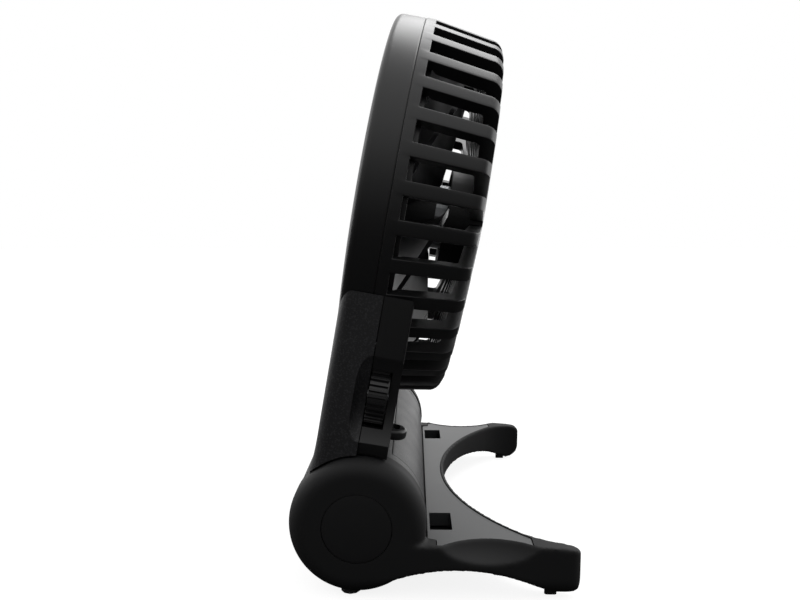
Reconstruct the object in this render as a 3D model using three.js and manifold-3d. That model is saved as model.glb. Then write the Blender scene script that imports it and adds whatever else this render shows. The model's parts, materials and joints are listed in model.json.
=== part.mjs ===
// Folding clip fan: a round caged fan head on a narrow body that turns in a two-pronged stand.
// Millimetres, +Z up. The fan blows towards -X, the prongs of the stand point towards +X and the
// thumb wheel is on the -Y side. The origin is on the ground, under the middle of the fan.
//
// The stand is drawn about the hinge axis, which runs along Y. The body is drawn upright about
// the same axis and then leans back by bodyTilt.

import * as THREE from 'three';
import { mergeVertices } from 'three/addons/utils/BufferGeometryUtils.js';
import Module from 'manifold-3d';

// ---------------------------------------------------------------- driving sizes

const gap = 0.3; // between two pieces that seat on each other
const wall = 2.4; // moulded wall of the body
const bodyTilt = 10; // degrees that the body leans back

// Cells, end to end in the barrel, with a contact at each end of the row.
const cellRadius = 16.6;
const cellLength = 60;
const cellEdge = 0.6;
const cellButtonRadius = 4.75;
const cellButtonHeight = 1.5;
const cellPlay = 0.2;
const contactRoom = 2;
const springTipRadius = 6;
const springBaseRadius = 11;
const springBoreRadius = 3;
const contactPlateRadius = 8;

// Barrel: the lower end of the body, which holds the cells and turns between the cheeks.
const barrelRadius = 24.2;
const barrelWall = 2.4;
const barrelEndWall = 3;
const cradleRibThickness = 2;
const doorMargin = 5.8; // from the door's end to the barrel's end
const doorTopAngle = 70;
const doorBottomAngle = -70;

// Fan head, about its own axis.
const headRadius = 80;
const headRise = 9.2; // from the barrel to the underside of the head
const headFront = -20;
const ringSeam = -8.2;
const ringEdgeRadius = 2.8;
const ringWall = 2.4;
const ringLipWidth = 8.5;
const ringLipDepth = 2.8;
const ringLipEdge = 0.8;
const skirtInset = 6.5;
const skirtThickness = 2;
const skirtEnd = -2.2;
const cradleClearance = 0.45;

// Neck: the part of the body between the barrel and the fan head.
const neckInset = 6; // from the head's side to the neck's side
const neckFront = 19.6;
const neckRear = 6.2;
const neckSeam = -4.5;
const neckCornerRadius = 4;
const neckRearEdge = 0.9;
const neckOverlap = 7.5; // that the neck is drawn above its shoulders, before the head is cut out
const flareRise = 9.8;
const flareBottom = 9;

// Rear cage.
const barCount = 38;
const slotAngle = 5.71;
const firstBarAngle = 60.87;
const slotFront = -3.9;
const cageRear = 24.2;
const cageTaper = 3.8;
const cageCornerRadius = 5.5;
const barDepth = 5.4;
const barInnerWidth = 2.6;
const barRootWidth = 3.2;
const barCornerInner = 2.4;
const ribHubWidth = 1.9;
const cageHubRadius = 22.5;
const cageHubRise = 5; // of the hub behind the bars' corners
const cageHubDepth = 15.5;
const cageHubThickness = 2.5;
const cageHubWall = 2;
const collarLength = 4;
const bandSink = 0.1; // of the band below the ring's widest place

// Motor and rotor.
const motorRadius = 14.1;
const motorFront = 3;
const motorEdge = 1;
const motorBossLength = 1.4;
const motorBossRadius = 4;
const motorCapThickness = 1.8;
const motorCapInset = 0.4;
const socketWall = 2.2;
const socketDepth = 12;
const shaftRadius = 1.15;
const bladeCount = 9;
const bladePhase = -1;
const bladeClearance = 3.5; // from the blades' tips to the skirt
const bladeRootSink = 1.3; // that the blades reach into the hub
const bladeFront = -8;
const bladeRear = 12.5;
const bladeTipSpan = 42;
const bladeRootSpan = 46;
const bladeThickness = 1.5;
const bladeCamber = 2.2;
const bladeTipCorner = 3;
const rotorHubRadius = 20;
const rotorHubEdge = 2;
const rotorHubFront = -11;
const rotorHubRear = 9;
const rotorHubWall = 2;

// Front grille.
const grilleDepth = 3;
const grilleRimWidth = 2.7;
const grilleHubRadius = 19;
const grilleHubEdge = 2;
const grilleBarWidth = 1.7;
const grilleBarCount = 38;

// Thumb wheel in its finger scoop, below the neck's shoulder.
const wheelRadius = 10;
const wheelWidth = 6.6;
const wheelCentreX = -0.6;
const wheelInset = 8.4; // from the neck's side to the wheel's axis
const wheelDrop = 36.54; // from the shoulder to the wheel's axis
const wheelRibCount = 20;
const wheelRibDepth = 0.7;
const wheelFlange = 1.3;
const wheelFlangeEdge = 0.5;
const wheelPinRadius = 2;
const slotClearance = 0.4;
const scoopHeight = 31.5;
const scoopDepth = 4;
const scoopFront = -9.3;
const controlSize = 11;
const controlThickness = 3.7;
const boardThickness = 1;
const boardSide = 4.4;
const boardLength = 23.6;
const boardBelow = 18.1;
const boardAbove = 8.7;
const boardLowEnd = 7.3;
const boardStep = [[10.6, -2.3], [5.6, 8.7]];

// Screws.
const screwRadius = 1;
const screwHeadRadius = 2.7;
const screwHeadHeight = 1.6;
const screwSink = 0.7;
const neckScrewReach = 9.5; // from the seam forwards
const upperScrewInset = 5.7; // from the neck's side
const upperScrewRise = 18.7; // above the wheel's axis
const lowerScrewY = 30;
const lowerScrewDrop = 8.45; // below the cradle
const frontColumnRadius = 3;
const rearColumnRadius = 4;

// Latch eyes on the back of the neck; they drop into the windows of the top plate.
const eyeInset = 22.4; // from the stand's side
const eyeRise = 6; // above the barrel
const eyeThickness = 4;
const eyeWidth = 11;
const eyeReach = 6;
const eyeHoleLength = 2.6;
const eyeHoleWidth = 5.8;

// Stand.
const cheekProud = 0.5; // that the cheeks stand above the barrel
const cheekThickness = 11.8;
const cheekEdgeRadius = 5.8;
const cheekPocketDepth = 7;
const cheekRim = 3;
const pivotBossRadius = 15;
const barrelClearance = 1.6;
const plateTop = -6.2;
const plateThickness = 2;
const plateFrontClear = 0.7; // from the barrel to the plate's front
const plateFrontLip = 3.1; // from there to its front corners
const plateSideLip = 1.6;
const plateLength = 37.6;
const plateEndSlope = 0.5;
const plateDimpleLip = 0.6;
const plateStepLength = 1.8;
const prongReach = 79.3;
const prongTipWidth = 5;
const prongTipDrop = 2.6;
const prongTipLift = 0.5;
const prongTipRadius = 7;
const prongTipEdge = 2;
const prongCornerRadius = 4;
const prongEdgeRadius = 6.5; // along the lower outer edge
const prongBendWidth = 12;
const prongBendPull = 11;
const prongBendLead = 1.97; // from the bend to the plate's end
const nestClearance = 0.5; // under the folded head
const nestRim = 1.3;
const archFront = 3.3;
const archSetback = 11.3;
const archRise = 9.6;
const archEndRise = 1.7;
const pocketFloorThickness = 2.3;
const pocketLedge = 2;
const pocketFrontLedge = 1;
const recessFrontOpen = 1.2; // that the plate's seat runs into the barrel's room
const pocketCornerLedge = 4.4;
const pocketEndLedge = 8;
const dimpleSetback = 21.7; // behind the plate's front
const dimpleOffset = 18.9;
const dimpleRadius = 26.2;
const dimpleHalfHeight = 12.5;
const dimpleLift = 2.2;
const windowFrontClear = 2.1;
const windowRearClear = 2.2;
const windowSideClear = 2.1;
const plateScrewX = [6.5, 22.6]; // behind the plate's front
const plateScrewInset = [46.4, 15.4]; // from the plate's side
const plateBossRadius = 2.9;
const plateScrewCover = 1.2;

// Pivots between the stand and the barrel.
const pinShankRadius = 4.5;
const pinHeadRadius = 8;
const pinHeadHeight = 2.5;
const pinLedge = 3.8;
const capRadius = 12.4;
const capEdge = 0.5;
const capSink = 0.2;
const capDome = 0.5;
const washerOuterRadius = 12;
const washerThickness = 0.6;

// Feet.
const footShow = 0.6; // that the feet stand out below the cheeks
const frontFootHeight = 2.4;
const frontFootX = -2.6;
const frontFootInset = 6.5;
const frontFootRadius = 3.6;
const rearFootHeight = 3.4;
const rearFootSetback = 10.3;
const rearFootInset = 4.8;
const rearFootLength = 4.4;
const rearFootWidth = 1.8;

// ---------------------------------------------------------------- derived sizes

const degree = Math.PI / 180;
const ringSegments = 48;
const cageSegments = 2 * barCount;
const barrelSegments = 36;
const roundSegments = 24;
const smallSegments = 10;
const screwSegments = 8;
const pinSegments = 16;
const cradleSegments = 64;
const scoopSegments = 54;
const dimpleSegments = 32;
const crumb = 0.01;
const overshoot = 1; // that a cut runs past the face it opens
const sides = [['near', -1], ['far', 1]];

// Widths, from the cells outwards.
const barrelHalfLength = cellLength + contactRoom + barrelEndWall;
const doorHalfLength = barrelHalfLength - doorMargin;
const cheekInner = barrelHalfLength + washerThickness + 2 * gap;
const cheekOuter = cheekInner + cheekThickness;
const pinSeat = cheekInner + pinLedge;
const prongOuter = cheekOuter;
const prongTipInner = prongOuter - prongTipWidth;
const prongBendY = prongOuter - prongBendWidth;
const plateCornerY = prongOuter - plateSideLip;
const dimpleY = prongOuter + dimpleOffset;
const frontFootY = cheekOuter - frontFootInset;
const rearFootY = prongOuter - rearFootInset;

// Heights about the hinge axis.
const cheekRadius = barrelRadius + cheekProud;
const cheekClear = cheekRadius + 2 * gap;
const groundClearance = cheekRadius + footShow;
const prongTipTop = plateTop - prongTipDrop;
const prongTipBottom = prongTipLift - groundClearance;
const archTop = prongTipBottom + archRise;
const pocketFloor = archTop + pocketFloorThickness;
const dimpleCentreZ = plateTop + dimpleLift;
const flareTop = barrelRadius + flareRise;
const eyeHeight = barrelRadius + eyeRise;

// Fan head, neck and what the neck carries.
const headHeight = barrelRadius + headRise + headRadius;
const cradleRadius = headRadius + cradleClearance;
const bandRadius = headRadius - bandSink;
const channelOuter = headRadius - ringWall;
const skirtRadius = headRadius - skirtInset;
const channelInner = skirtRadius + skirtThickness;
const ringLipRadius = headRadius - ringLipWidth;
const cageRearRadius = headRadius - cageTaper;
const bladeTipRadius = skirtRadius - bladeClearance;
const bladeRootRadius = rotorHubRadius - bladeRootSink;
const neckHalfWidth = headRadius - neckInset;
const shoulderHeight = cradleHeightAt(neckHalfWidth);
const wheelAxisY = wheelInset - neckHalfWidth;
const wheelHeight = shoulderHeight - wheelDrop;
const wheelBore = wheelPinRadius + gap;
const eyeCentreY = prongOuter - eyeInset;
const upperScrewY = neckHalfWidth - upperScrewInset;
const upperScrewZ = wheelHeight + upperScrewRise;
const lowerScrewZ = cradleHeightAt(lowerScrewY) - lowerScrewDrop;
const neckScrews = [[-upperScrewY, upperScrewZ], [upperScrewY, upperScrewZ],
  [-lowerScrewY, lowerScrewZ], [lowerScrewY, lowerScrewZ]];
const barPitch = 360 / barCount;
const barHalfAngle = (barPitch - slotAngle) / 2;
const barOuterWidth = 2 * headRadius * Math.tan(barHalfAngle * degree);
const grilleRear = headFront + ringLipDepth + gap + grilleDepth;
const cageHubRear = cageRear + cageHubRise;
const motorRear = cageHubRear - cageHubThickness - gap;

// Lengths of the stand, from the hinge axis towards the prongs.
const hingeX = (cheekRadius - prongReach) / 2;
const plateFront = barrelRadius + plateFrontClear;
const plateEndX = plateFront + plateLength;
const dimpleX = plateFront + dimpleSetback;
const prongSlopeStart = plateEndX - plateEndSlope;
const prongBendX = plateEndX - prongBendLead;
const archRear = prongReach - archSetback;
const rearFootX = prongReach - rearFootSetback;
const nestFront = headHeight - headRadius + nestClearance;
const nestDepth = prongBendX - nestFront;
const nestRadius = (nestDepth ** 2 + prongBendY ** 2) / (2 * nestDepth);
const nestCentreX = nestFront + nestRadius;
const windowFront = eyeHeight - eyeThickness / 2 - windowFrontClear;
const windowRear = eyeHeight + eyeThickness / 2 + windowRearClear;
const windowInner = eyeCentreY - eyeWidth / 2 - windowSideClear;
const windowOuter = eyeCentreY + eyeWidth / 2 + windowSideClear;
const plateScrews = plateScrewX.map((x, i) => (
  [plateFront + x, plateCornerY - plateScrewInset[i]]));
const plateScrewHeadTop = archTop + plateScrewCover;

// Height at which the cradle under the head passes a distance from the middle.
function cradleHeightAt(y) {
  return headHeight - Math.sqrt(cradleRadius ** 2 - y ** 2);
}

// ---------------------------------------------------------------- geometry helpers

const wasm = await Module();
wasm.setup();

// A closed geometry as a solid, with its faces turned outwards.
function toSolid(geometry) {
  const bare = geometry.index ? geometry.toNonIndexed() : geometry.clone();
  bare.deleteAttribute('normal');
  bare.deleteAttribute('uv');
  const merged = mergeVertices(bare, 1e-4);
  const position = merged.attributes.position;
  const index = merged.index.array;
  const faces = [];
  const [a, b, c] = [new THREE.Vector3(), new THREE.Vector3(), new THREE.Vector3()];
  let volume = 0;
  for (let i = 0; i < index.length; i += 3) {
    const [p, q, r] = [index[i], index[i + 1], index[i + 2]];
    if (p === q || q === r || r === p) continue;
    a.fromBufferAttribute(position, p);
    b.fromBufferAttribute(position, q);
    c.fromBufferAttribute(position, r);
    volume += a.dot(b.cross(c));
    faces.push(p, q, r);
  }
  if (volume < 0) faces.reverse();
  return new wasm.Manifold(new wasm.Mesh({
    numProp: 3,
    vertProperties: new Float32Array(position.array),
    triVerts: new Uint32Array(faces),
  }));
}

function toGeometry(solid) {
  const mesh = solid.getMesh();
  const geometry = new THREE.BufferGeometry();
  const points = new Float32Array(mesh.numVert * 3);
  for (let i = 0; i < mesh.numVert; i += 1) {
    for (let k = 0; k < 3; k += 1) points[3 * i + k] = mesh.vertProperties[mesh.numProp * i + k];
  }
  geometry.setAttribute('position', new THREE.BufferAttribute(points, 3));
  geometry.setIndex(new THREE.BufferAttribute(new Uint32Array(mesh.triVerts), 1));
  geometry.computeVertexNormals();
  return geometry;
}

function join(solids) {
  return solids.reduce((sum, solid) => sum.add(solid));
}

function cut(solid, cutters) {
  return cutters.reduce((rest, cutter) => rest.subtract(cutter), solid);
}

// An outline without doubled points and without points in the middle of a straight line.
function tidyOutline(points) {
  const apart = points.filter((point, i) => (
    point.distanceTo(points[(i + 1) % points.length]) > 1e-3));
  return apart.filter((point, i) => {
    const before = apart[(i + apart.length - 1) % apart.length];
    const after = apart[(i + 1) % apart.length];
    const [ux, uy] = [point.x - before.x, point.y - before.y];
    const [vx, vy] = [after.x - point.x, after.y - point.y];
    return Math.abs(ux * vy - uy * vx) > 1e-6;
  });
}

// Extrusions of a flat outline. The outline's two coordinates are the other two axes in order.
function extrude(shape, from, to, basis, curveSegments) {
  const outline = shape.extractPoints(curveSegments);
  const tidy = new THREE.Shape(tidyOutline(outline.shape));
  tidy.holes = outline.holes.map((hole) => new THREE.Path(tidyOutline(hole)));
  const geometry = new THREE.ExtrudeGeometry(tidy, { depth: to - from, bevelEnabled: false });
  geometry.translate(0, 0, from);
  return toSolid(geometry.applyMatrix4(basis));
}

const basisX = new THREE.Matrix4().makeBasis(
  new THREE.Vector3(0, 1, 0),
  new THREE.Vector3(0, 0, 1),
  new THREE.Vector3(1, 0, 0),
);
const basisY = new THREE.Matrix4().makeBasis(
  new THREE.Vector3(1, 0, 0),
  new THREE.Vector3(0, 0, 1),
  new THREE.Vector3(0, -1, 0),
);
const basisZ = new THREE.Matrix4();

function alongX(shape, x0, x1, curveSegments = 12) {
  return extrude(shape, x0, x1, basisX, curveSegments);
}

function alongY(shape, y0, y1, curveSegments = 12) {
  return extrude(shape, -y1, -y0, basisY, curveSegments);
}

function alongZ(shape, z0, z1, curveSegments = 12) {
  return extrude(shape, z0, z1, basisZ, curveSegments);
}

function polygon(points) {
  return new THREE.Shape(points.map(([u, v]) => new THREE.Vector2(u, v)));
}

function rectangle(u0, v0, u1, v1) {
  return polygon([[u0, v0], [u1, v0], [u1, v1], [u0, v1]]);
}

// Solids of revolution. A profile is a list of [place on the axis, radius] that closes on itself
// or starts and ends on the axis.
function lathe(profile, segments, closed) {
  const points = profile.map(([along, radius]) => new THREE.Vector2(radius, along));
  if (closed) points.push(points[0].clone());
  return new THREE.LatheGeometry(points, segments);
}

function isRing(profile) {
  return profile.every(([, radius]) => radius > 1e-6);
}

function turnX(profile, segments = roundSegments, y = 0, z = 0) {
  const geometry = lathe(profile, segments, isRing(profile));
  geometry.rotateZ(-Math.PI / 2);
  return toSolid(geometry.translate(0, y, z));
}

function turnY(profile, segments = roundSegments, x = 0, z = 0) {
  return toSolid(lathe(profile, segments, isRing(profile)).translate(x, 0, z));
}

function turnZ(profile, segments = roundSegments, x = 0, y = 0) {
  const geometry = lathe(profile, segments, isRing(profile));
  geometry.rotateX(Math.PI / 2);
  return toSolid(geometry.translate(x, y, 0));
}

function disc(from, to, radius) {
  return [[from, 0], [from, radius], [to, radius], [to, 0]];
}

function tube(from, to, inner, outer) {
  return [[from, inner], [from, outer], [to, outer], [to, inner]];
}

// Points of a circular arc as [u, v], with angles in degrees.
function arcPoints(u, v, radius, startAngle, endAngle, steps) {
  const points = [];
  for (let i = 0; i <= steps; i += 1) {
    const angle = (startAngle + (endAngle - startAngle) * i / steps) * degree;
    points.push([u + radius * Math.cos(angle), v + radius * Math.sin(angle)]);
  }
  return points;
}

// A solid through a row of rings of points. Each ring runs along one edge of a strip and back
// along the other, and the first and the last are closed across the strip.
function loft(rings) {
  const count = rings[0].length;
  const vertices = rings.flat().flatMap((point) => [point.x, point.y, point.z]);
  const faces = [];
  for (let i = 0; i + 1 < rings.length; i += 1) {
    for (let k = 0; k < count; k += 1) {
      const [a, b] = [i * count + k, i * count + (k + 1) % count];
      faces.push(a, b, b + count, a, b + count, a + count);
    }
  }
  const last = (rings.length - 1) * count;
  for (let k = 0; k + 1 < count / 2; k += 1) {
    const [a, b, c, d] = [k, k + 1, count - 2 - k, count - 1 - k];
    faces.push(a, c, b, a, d, c);
    faces.push(last + a, last + b, last + c, last + a, last + c, last + d);
  }
  const geometry = new THREE.BufferGeometry();
  geometry.setAttribute('position', new THREE.Float32BufferAttribute(vertices, 3));
  geometry.setIndex(faces);
  return geometry;
}

// ---------------------------------------------------------------- colours

const satinBlack = { color: 0x1b1b1d, roughness: 0.42, metalness: 0 };
const grainedBlack = { color: 0x29292b, roughness: 0.75, metalness: 0 };
const softBlack = { color: 0x161617, roughness: 0.6, metalness: 0 };
const plateGrey = { color: 0x5d5e60, roughness: 0.4, metalness: 0 };
const bladeBlack = { color: 0x222224, roughness: 0.35, metalness: 0 };
const rubberBlack = { color: 0x111112, roughness: 0.9, metalness: 0 };
const steel = { color: 0xa9abad, roughness: 0.35, metalness: 1 };
const brassTone = { color: 0xb08d4c, roughness: 0.4, metalness: 1 };
const boardGreen = { color: 0x1f4a33, roughness: 0.5, metalness: 0 };
const cellSleeve = { color: 0x4b4f55, roughness: 0.35, metalness: 0.2 };

const fan = new THREE.Group();
const stand = new THREE.Group();
const body = new THREE.Group();

// Joins leave crumbs, which are faces too thin to matter; they go before the mesh is made.
function place(group, name, solid, finish) {
  const clean = toGeometry(solid.simplify(crumb));
  const mesh = new THREE.Mesh(clean, new THREE.MeshStandardMaterial(finish));
  mesh.name = name;
  group.add(mesh);
}

// ---------------------------------------------------------------- stand

// Outline of the stand from above: a bar behind the barrel and two prongs round the nest.
function standOutline() {
  const bendAngle = Math.atan2(prongBendY, prongBendX - nestCentreX) / degree;
  const corner = prongCornerRadius;
  const pullX = prongReach - prongBendPull;
  const shape = new THREE.Shape();
  shape.moveTo(0, -prongOuter);
  shape.lineTo(prongReach - corner, -prongOuter);
  shape.quadraticCurveTo(prongReach, -prongOuter, prongReach, corner - prongOuter);
  shape.lineTo(prongReach, -prongTipInner);
  shape.quadraticCurveTo(pullX, -prongTipInner, prongBendX, -prongBendY);
  arcPoints(nestCentreX, 0, nestRadius, 360 - bendAngle, bendAngle, 14)
    .forEach(([x, y]) => shape.lineTo(x, y));
  shape.quadraticCurveTo(pullX, prongTipInner, prongReach, prongTipInner);
  shape.lineTo(prongReach, prongOuter - corner);
  shape.quadraticCurveTo(prongReach, prongOuter, prongReach - corner, prongOuter);
  shape.lineTo(0, prongOuter);
  return shape;
}

// Side view of the prongs: a flat top that falls off to the tip, and an arched underside.
function standSide() {
  const archHalf = (archRear - archFront) / 2;
  const archHeight = archRise - archEndRise;
  const archRadius = (archHalf ** 2 + archHeight ** 2) / (2 * archHeight);
  const archCentreX = archFront + archHalf;
  const archCentreZ = archTop - archRadius;
  const archAngle = Math.acos(archHalf / archRadius) / degree;
  const tipCentreX = prongReach - prongTipRadius;
  const tipCentreZ = prongTipBottom + prongTipRadius;
  return polygon([
    [0, plateTop],
    [prongSlopeStart, plateTop],
    [prongReach - prongTipEdge, prongTipTop],
    [prongReach, prongTipTop - prongTipEdge],
    ...arcPoints(tipCentreX, tipCentreZ, prongTipRadius, 0, -90, 4),
    ...arcPoints(archCentreX, archCentreZ, archRadius, archAngle, 180 - archAngle, 8),
    [0, archEndRise + prongTipBottom],
  ]);
}

// Outline of the top plate, shrunk along its curved edges by inset, and at its front, its outer
// corners and its pointed ends by the other three.
function plateOutline(inset, frontInset = inset, cornerInset = inset, endInset = inset) {
  const edgeRadius = nestRadius + nestRim + inset;
  const dimpleEdge = dimpleRadiusAt(plateTop) + plateDimpleLip + inset;
  const endX = plateEndX - endInset;
  const cornerY = plateCornerY - cornerInset;
  const startX = dimpleX - Math.sqrt(dimpleEdge ** 2 - (dimpleY - cornerY) ** 2);
  const endY = Math.sqrt(edgeRadius ** 2 - (nestCentreX - endX) ** 2);
  const endOuterY = dimpleY - Math.sqrt(dimpleEdge ** 2 - (endX - dimpleX) ** 2);
  const endAngle = Math.atan2(endOuterY - dimpleY, endX - dimpleX) / degree;
  const startAngle = Math.atan2(cornerY - dimpleY, startX - dimpleX) / degree;
  const nestAngle = Math.atan2(endY, endX - nestCentreX) / degree;
  const cornerX = plateFront + plateFrontLip + inset;
  const half = [
    [plateFront + frontInset, plateCornerY - pocketCornerLedge - plateStepLength],
    [cornerX, plateCornerY - pocketCornerLedge],
    [cornerX, cornerY],
    ...arcPoints(dimpleX, dimpleY, dimpleEdge, startAngle, endAngle, 6),
    ...arcPoints(nestCentreX, 0, edgeRadius, nestAngle, 180, 7),
  ];
  const mirrored = half.slice(0, -1).reverse().map(([x, y]) => [x, -y]);
  return polygon([...half, ...mirrored]);
}

function dimpleRadiusAt(z) {
  return dimpleRadius * Math.sqrt(1 - ((z - dimpleCentreZ) / dimpleHalfHeight) ** 2);
}

// Thumb dimple on the outside of a prong: part of an upright ellipsoid.
function dimple(side) {
  const profile = [];
  for (let i = 0; i <= 6; i += 1) {
    const angle = (-90 + i * 90 / 6) * degree;
    const radius = Math.max(0, dimpleRadius * Math.cos(angle));
    profile.push([dimpleCentreZ + dimpleHalfHeight * Math.sin(angle), radius]);
  }
  profile.push([0, dimpleRadius], [0, 0]);
  profile[0][1] = 0;
  return turnZ(profile, dimpleSegments, dimpleX, side * dimpleY);
}

function cheek(side) {
  const profile = [[cheekInner, 0], [cheekInner, cheekRadius]];
  const edge = arcPoints(cheekOuter - cheekEdgeRadius, cheekRadius - cheekEdgeRadius,
    cheekEdgeRadius, 90, 0, 3);
  profile.push(...edge, [cheekOuter, 0]);
  return turnY(mirrorAlong(profile, side), barrelSegments);
}

// A profile drawn for the +Y side, turned over for the other side.
function mirrorAlong(profile, side) {
  return profile.map(([along, radius]) => [side * along, radius]);
}

function cheekCuts(side) {
  const pocket = tube(cheekInner - overshoot, cheekInner + cheekPocketDepth,
    pivotBossRadius, cheekRadius - cheekRim);
  const seat = disc(pinSeat, cheekOuter + overshoot, capRadius + gap);
  const bore = disc(cheekInner - overshoot, cheekOuter, pinShankRadius + gap);
  return [pocket, seat, bore].map((profile) => turnY(mirrorAlong(profile, side), roundSegments));
}

function rearFootShape(grow) {
  const half = rearFootWidth / 2 + grow;
  const reach = (rearFootLength - rearFootWidth) / 2;
  const shape = new THREE.Shape();
  shape.absarc(reach, 0, half, -Math.PI / 2, Math.PI / 2, false);
  shape.absarc(-reach, 0, half, Math.PI / 2, 1.5 * Math.PI, false);
  return shape;
}

function rearFoot(side, grow) {
  const top = rearFootHeight - groundClearance + grow;
  const foot = alongZ(rearFootShape(grow), -groundClearance - grow, top, 6);
  return moved(foot, rearFootX, side * rearFootY, 0);
}

function frontFoot(side, grow) {
  const top = frontFootHeight - groundClearance + grow;
  const profile = disc(-groundClearance - grow, top, frontFootRadius + grow);
  return turnZ(profile, smallSegments, frontFootX, side * frontFootY);
}

function moved(solid, x, y, z) {
  return toSolid(toGeometry(solid).translate(x, y, z));
}

// The prongs seen from their ends, with both lower outer edges rounded.
function standEnd() {
  const [edgeY, edgeZ] = [prongOuter - prongEdgeRadius, prongTipBottom + prongEdgeRadius];
  return polygon([
    [-prongOuter, plateTop],
    ...arcPoints(-edgeY, edgeZ, prongEdgeRadius, 180, 270, 3),
    ...arcPoints(edgeY, edgeZ, prongEdgeRadius, 270, 360, 3),
    [prongOuter, plateTop],
  ]);
}

function makeStandFrame() {
  const plan = alongZ(standOutline(), -groundClearance, plateTop, 5);
  const side = alongY(standSide(), -prongOuter, prongOuter);
  const prongs = plan.intersect(side).intersect(alongX(standEnd(), 0, prongReach));
  const roomRadius = barrelRadius + barrelClearance;
  const barrelRoom = turnY(disc(-cheekInner, cheekInner, roomRadius), barrelSegments);
  const recess = alongZ(plateOutline(0, -recessFrontOpen), plateTop - plateThickness - gap,
    plateTop + overshoot);
  const pocketShape = plateOutline(pocketLedge, pocketFrontLedge, pocketCornerLedge,
    pocketEndLedge);
  const pocket = alongZ(pocketShape, pocketFloor, plateTop);
  let frame = cut(prongs, [barrelRoom, recess, pocket]);
  for (const [, s] of sides) {
    frame = cut(frame, [dimple(s)]).add(cheek(s));
    frame = cut(frame, [...cheekCuts(s), frontFoot(s, gap), rearFoot(s, gap)]);
    for (const [x, y] of plateScrews) {
      const room = turnZ(disc(-groundClearance, plateScrewHeadTop + gap, screwHeadRadius + gap),
        smallSegments, x, s * y);
      const bore = turnZ(disc(-groundClearance, plateTop, screwRadius + gap),
        smallSegments, x, s * y);
      frame = cut(frame, [room, bore]);
    }
  }
  return frame;
}

function makeTopPlate() {
  const under = plateTop - plateThickness;
  let plate = alongZ(plateOutline(gap), under, plateTop);
  for (const [, side] of sides) {
    const [y0, y1] = [side * windowInner, side * windowOuter];
    const window = rectangle(windowFront, Math.min(y0, y1), windowRear, Math.max(y0, y1));
    plate = plate.subtract(alongZ(window, under - overshoot, plateTop + overshoot));
    const bossTop = under + plateThickness / 4;
    for (const [x, y] of plateScrews) {
      const boss = turnZ(disc(pocketFloor + gap, bossTop, plateBossRadius),
        smallSegments, x, side * y);
      const bore = turnZ(disc(pocketFloor, bossTop, screwRadius + gap),
        smallSegments, x, side * y);
      plate = plate.add(boss).subtract(bore);
    }
  }
  return plate;
}

// A pan-head screw along +Z whose head starts at headBase and whose tip is at tip.
function screwProfile(headBase, headEnd, tip) {
  return [[headBase, 0], [headBase, screwHeadRadius], [headEnd, screwHeadRadius],
    [headEnd, screwRadius], [tip, screwRadius], [tip, 0]];
}

function makeStand() {
  place(stand, 'stand_frame', makeStandFrame(), softBlack);
  place(stand, 'top_plate', makeTopPlate(), plateGrey);
  let screwNumber = 0;
  for (const [name, side] of sides) {
    place(stand, `front_foot_${name}`, frontFoot(side, 0), rubberBlack);
    place(stand, `rear_foot_${name}`, rearFoot(side, 0), rubberBlack);
    place(stand, `pivot_pin_${name}`, makePivotPin(side), steel);
    place(stand, `pivot_cap_${name}`, makePivotCap(side), softBlack);
    place(stand, `friction_washer_${name}`, makeWasher(side), rubberBlack);
    for (const [x, y] of plateScrews) {
      screwNumber += 1;
      const profile = screwProfile(plateScrewHeadTop - screwHeadHeight, plateScrewHeadTop,
        plateTop - plateThickness);
      const screw = turnZ(profile, screwSegments, x, side * y);
      place(stand, `plate_screw_${screwNumber}`, screw, steel);
    }
  }
}

function makePivotPin(side) {
  const profile = [
    [barrelHalfLength - barrelEndWall + gap, 0],
    [barrelHalfLength - barrelEndWall + gap, pinShankRadius],
    [pinSeat + gap, pinShankRadius],
    [pinSeat + gap, pinHeadRadius],
    [pinSeat + gap + pinHeadHeight, pinHeadRadius],
    [pinSeat + gap + pinHeadHeight, 0],
  ];
  return turnY(mirrorAlong(profile, side), pinSegments);
}

function makePivotCap(side) {
  const base = pinSeat + pinHeadHeight + 2 * gap;
  const rim = cheekOuter - capSink;
  const profile = [[base, 0], [base, capRadius], [rim - capEdge, capRadius],
    [rim, capRadius - capEdge], [rim + 0.6 * capDome, capRadius / 2], [rim + capDome, 0]];
  return turnY(mirrorAlong(profile, side), roundSegments);
}

function makeWasher(side) {
  const from = (barrelHalfLength + cheekInner - washerThickness) / 2;
  const profile = tube(from, from + washerThickness, pinShankRadius + gap, washerOuterRadius);
  return turnY(mirrorAlong(profile, side), pinSegments);
}

// ---------------------------------------------------------------- body shells

// Place of the neck's front at a height: upright, then flaring out to meet the barrel.
function neckFrontAt(z) {
  if (z >= flareTop) return -neckFront;
  const t = Math.min(1, (flareTop - z) / (flareTop - flareBottom));
  const endX = -Math.sqrt(barrelRadius ** 2 - flareBottom ** 2);
  const endSlope = -flareBottom / endX * (flareBottom - flareTop);
  const h00 = 2 * t ** 3 - 3 * t ** 2 + 1;
  const h01 = 3 * t ** 2 - 2 * t ** 3;
  const h11 = t ** 3 - t ** 2;
  return -neckFront * h00 + endX * h01 + endSlope * h11;
}

// A level section of the neck, shrunk all round by inset.
function neckSection(z, inset) {
  const front = neckFrontAt(z) + inset;
  const rear = neckRear - inset;
  const side = neckHalfWidth - inset;
  const radius = Math.max(neckCornerRadius - inset, 0.8);
  const edge = Math.max(neckRearEdge - inset, 0.2);
  const half = [
    [rear, side - edge],
    [rear - edge, side],
    ...arcPoints(front + radius, side - radius, radius, 90, 180, 4),
  ];
  const mirrored = half.slice().reverse().map(([x, y]) => [x, -y]);
  return [...half, ...mirrored].map(([x, y]) => new THREE.Vector3(x, y, z));
}

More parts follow.
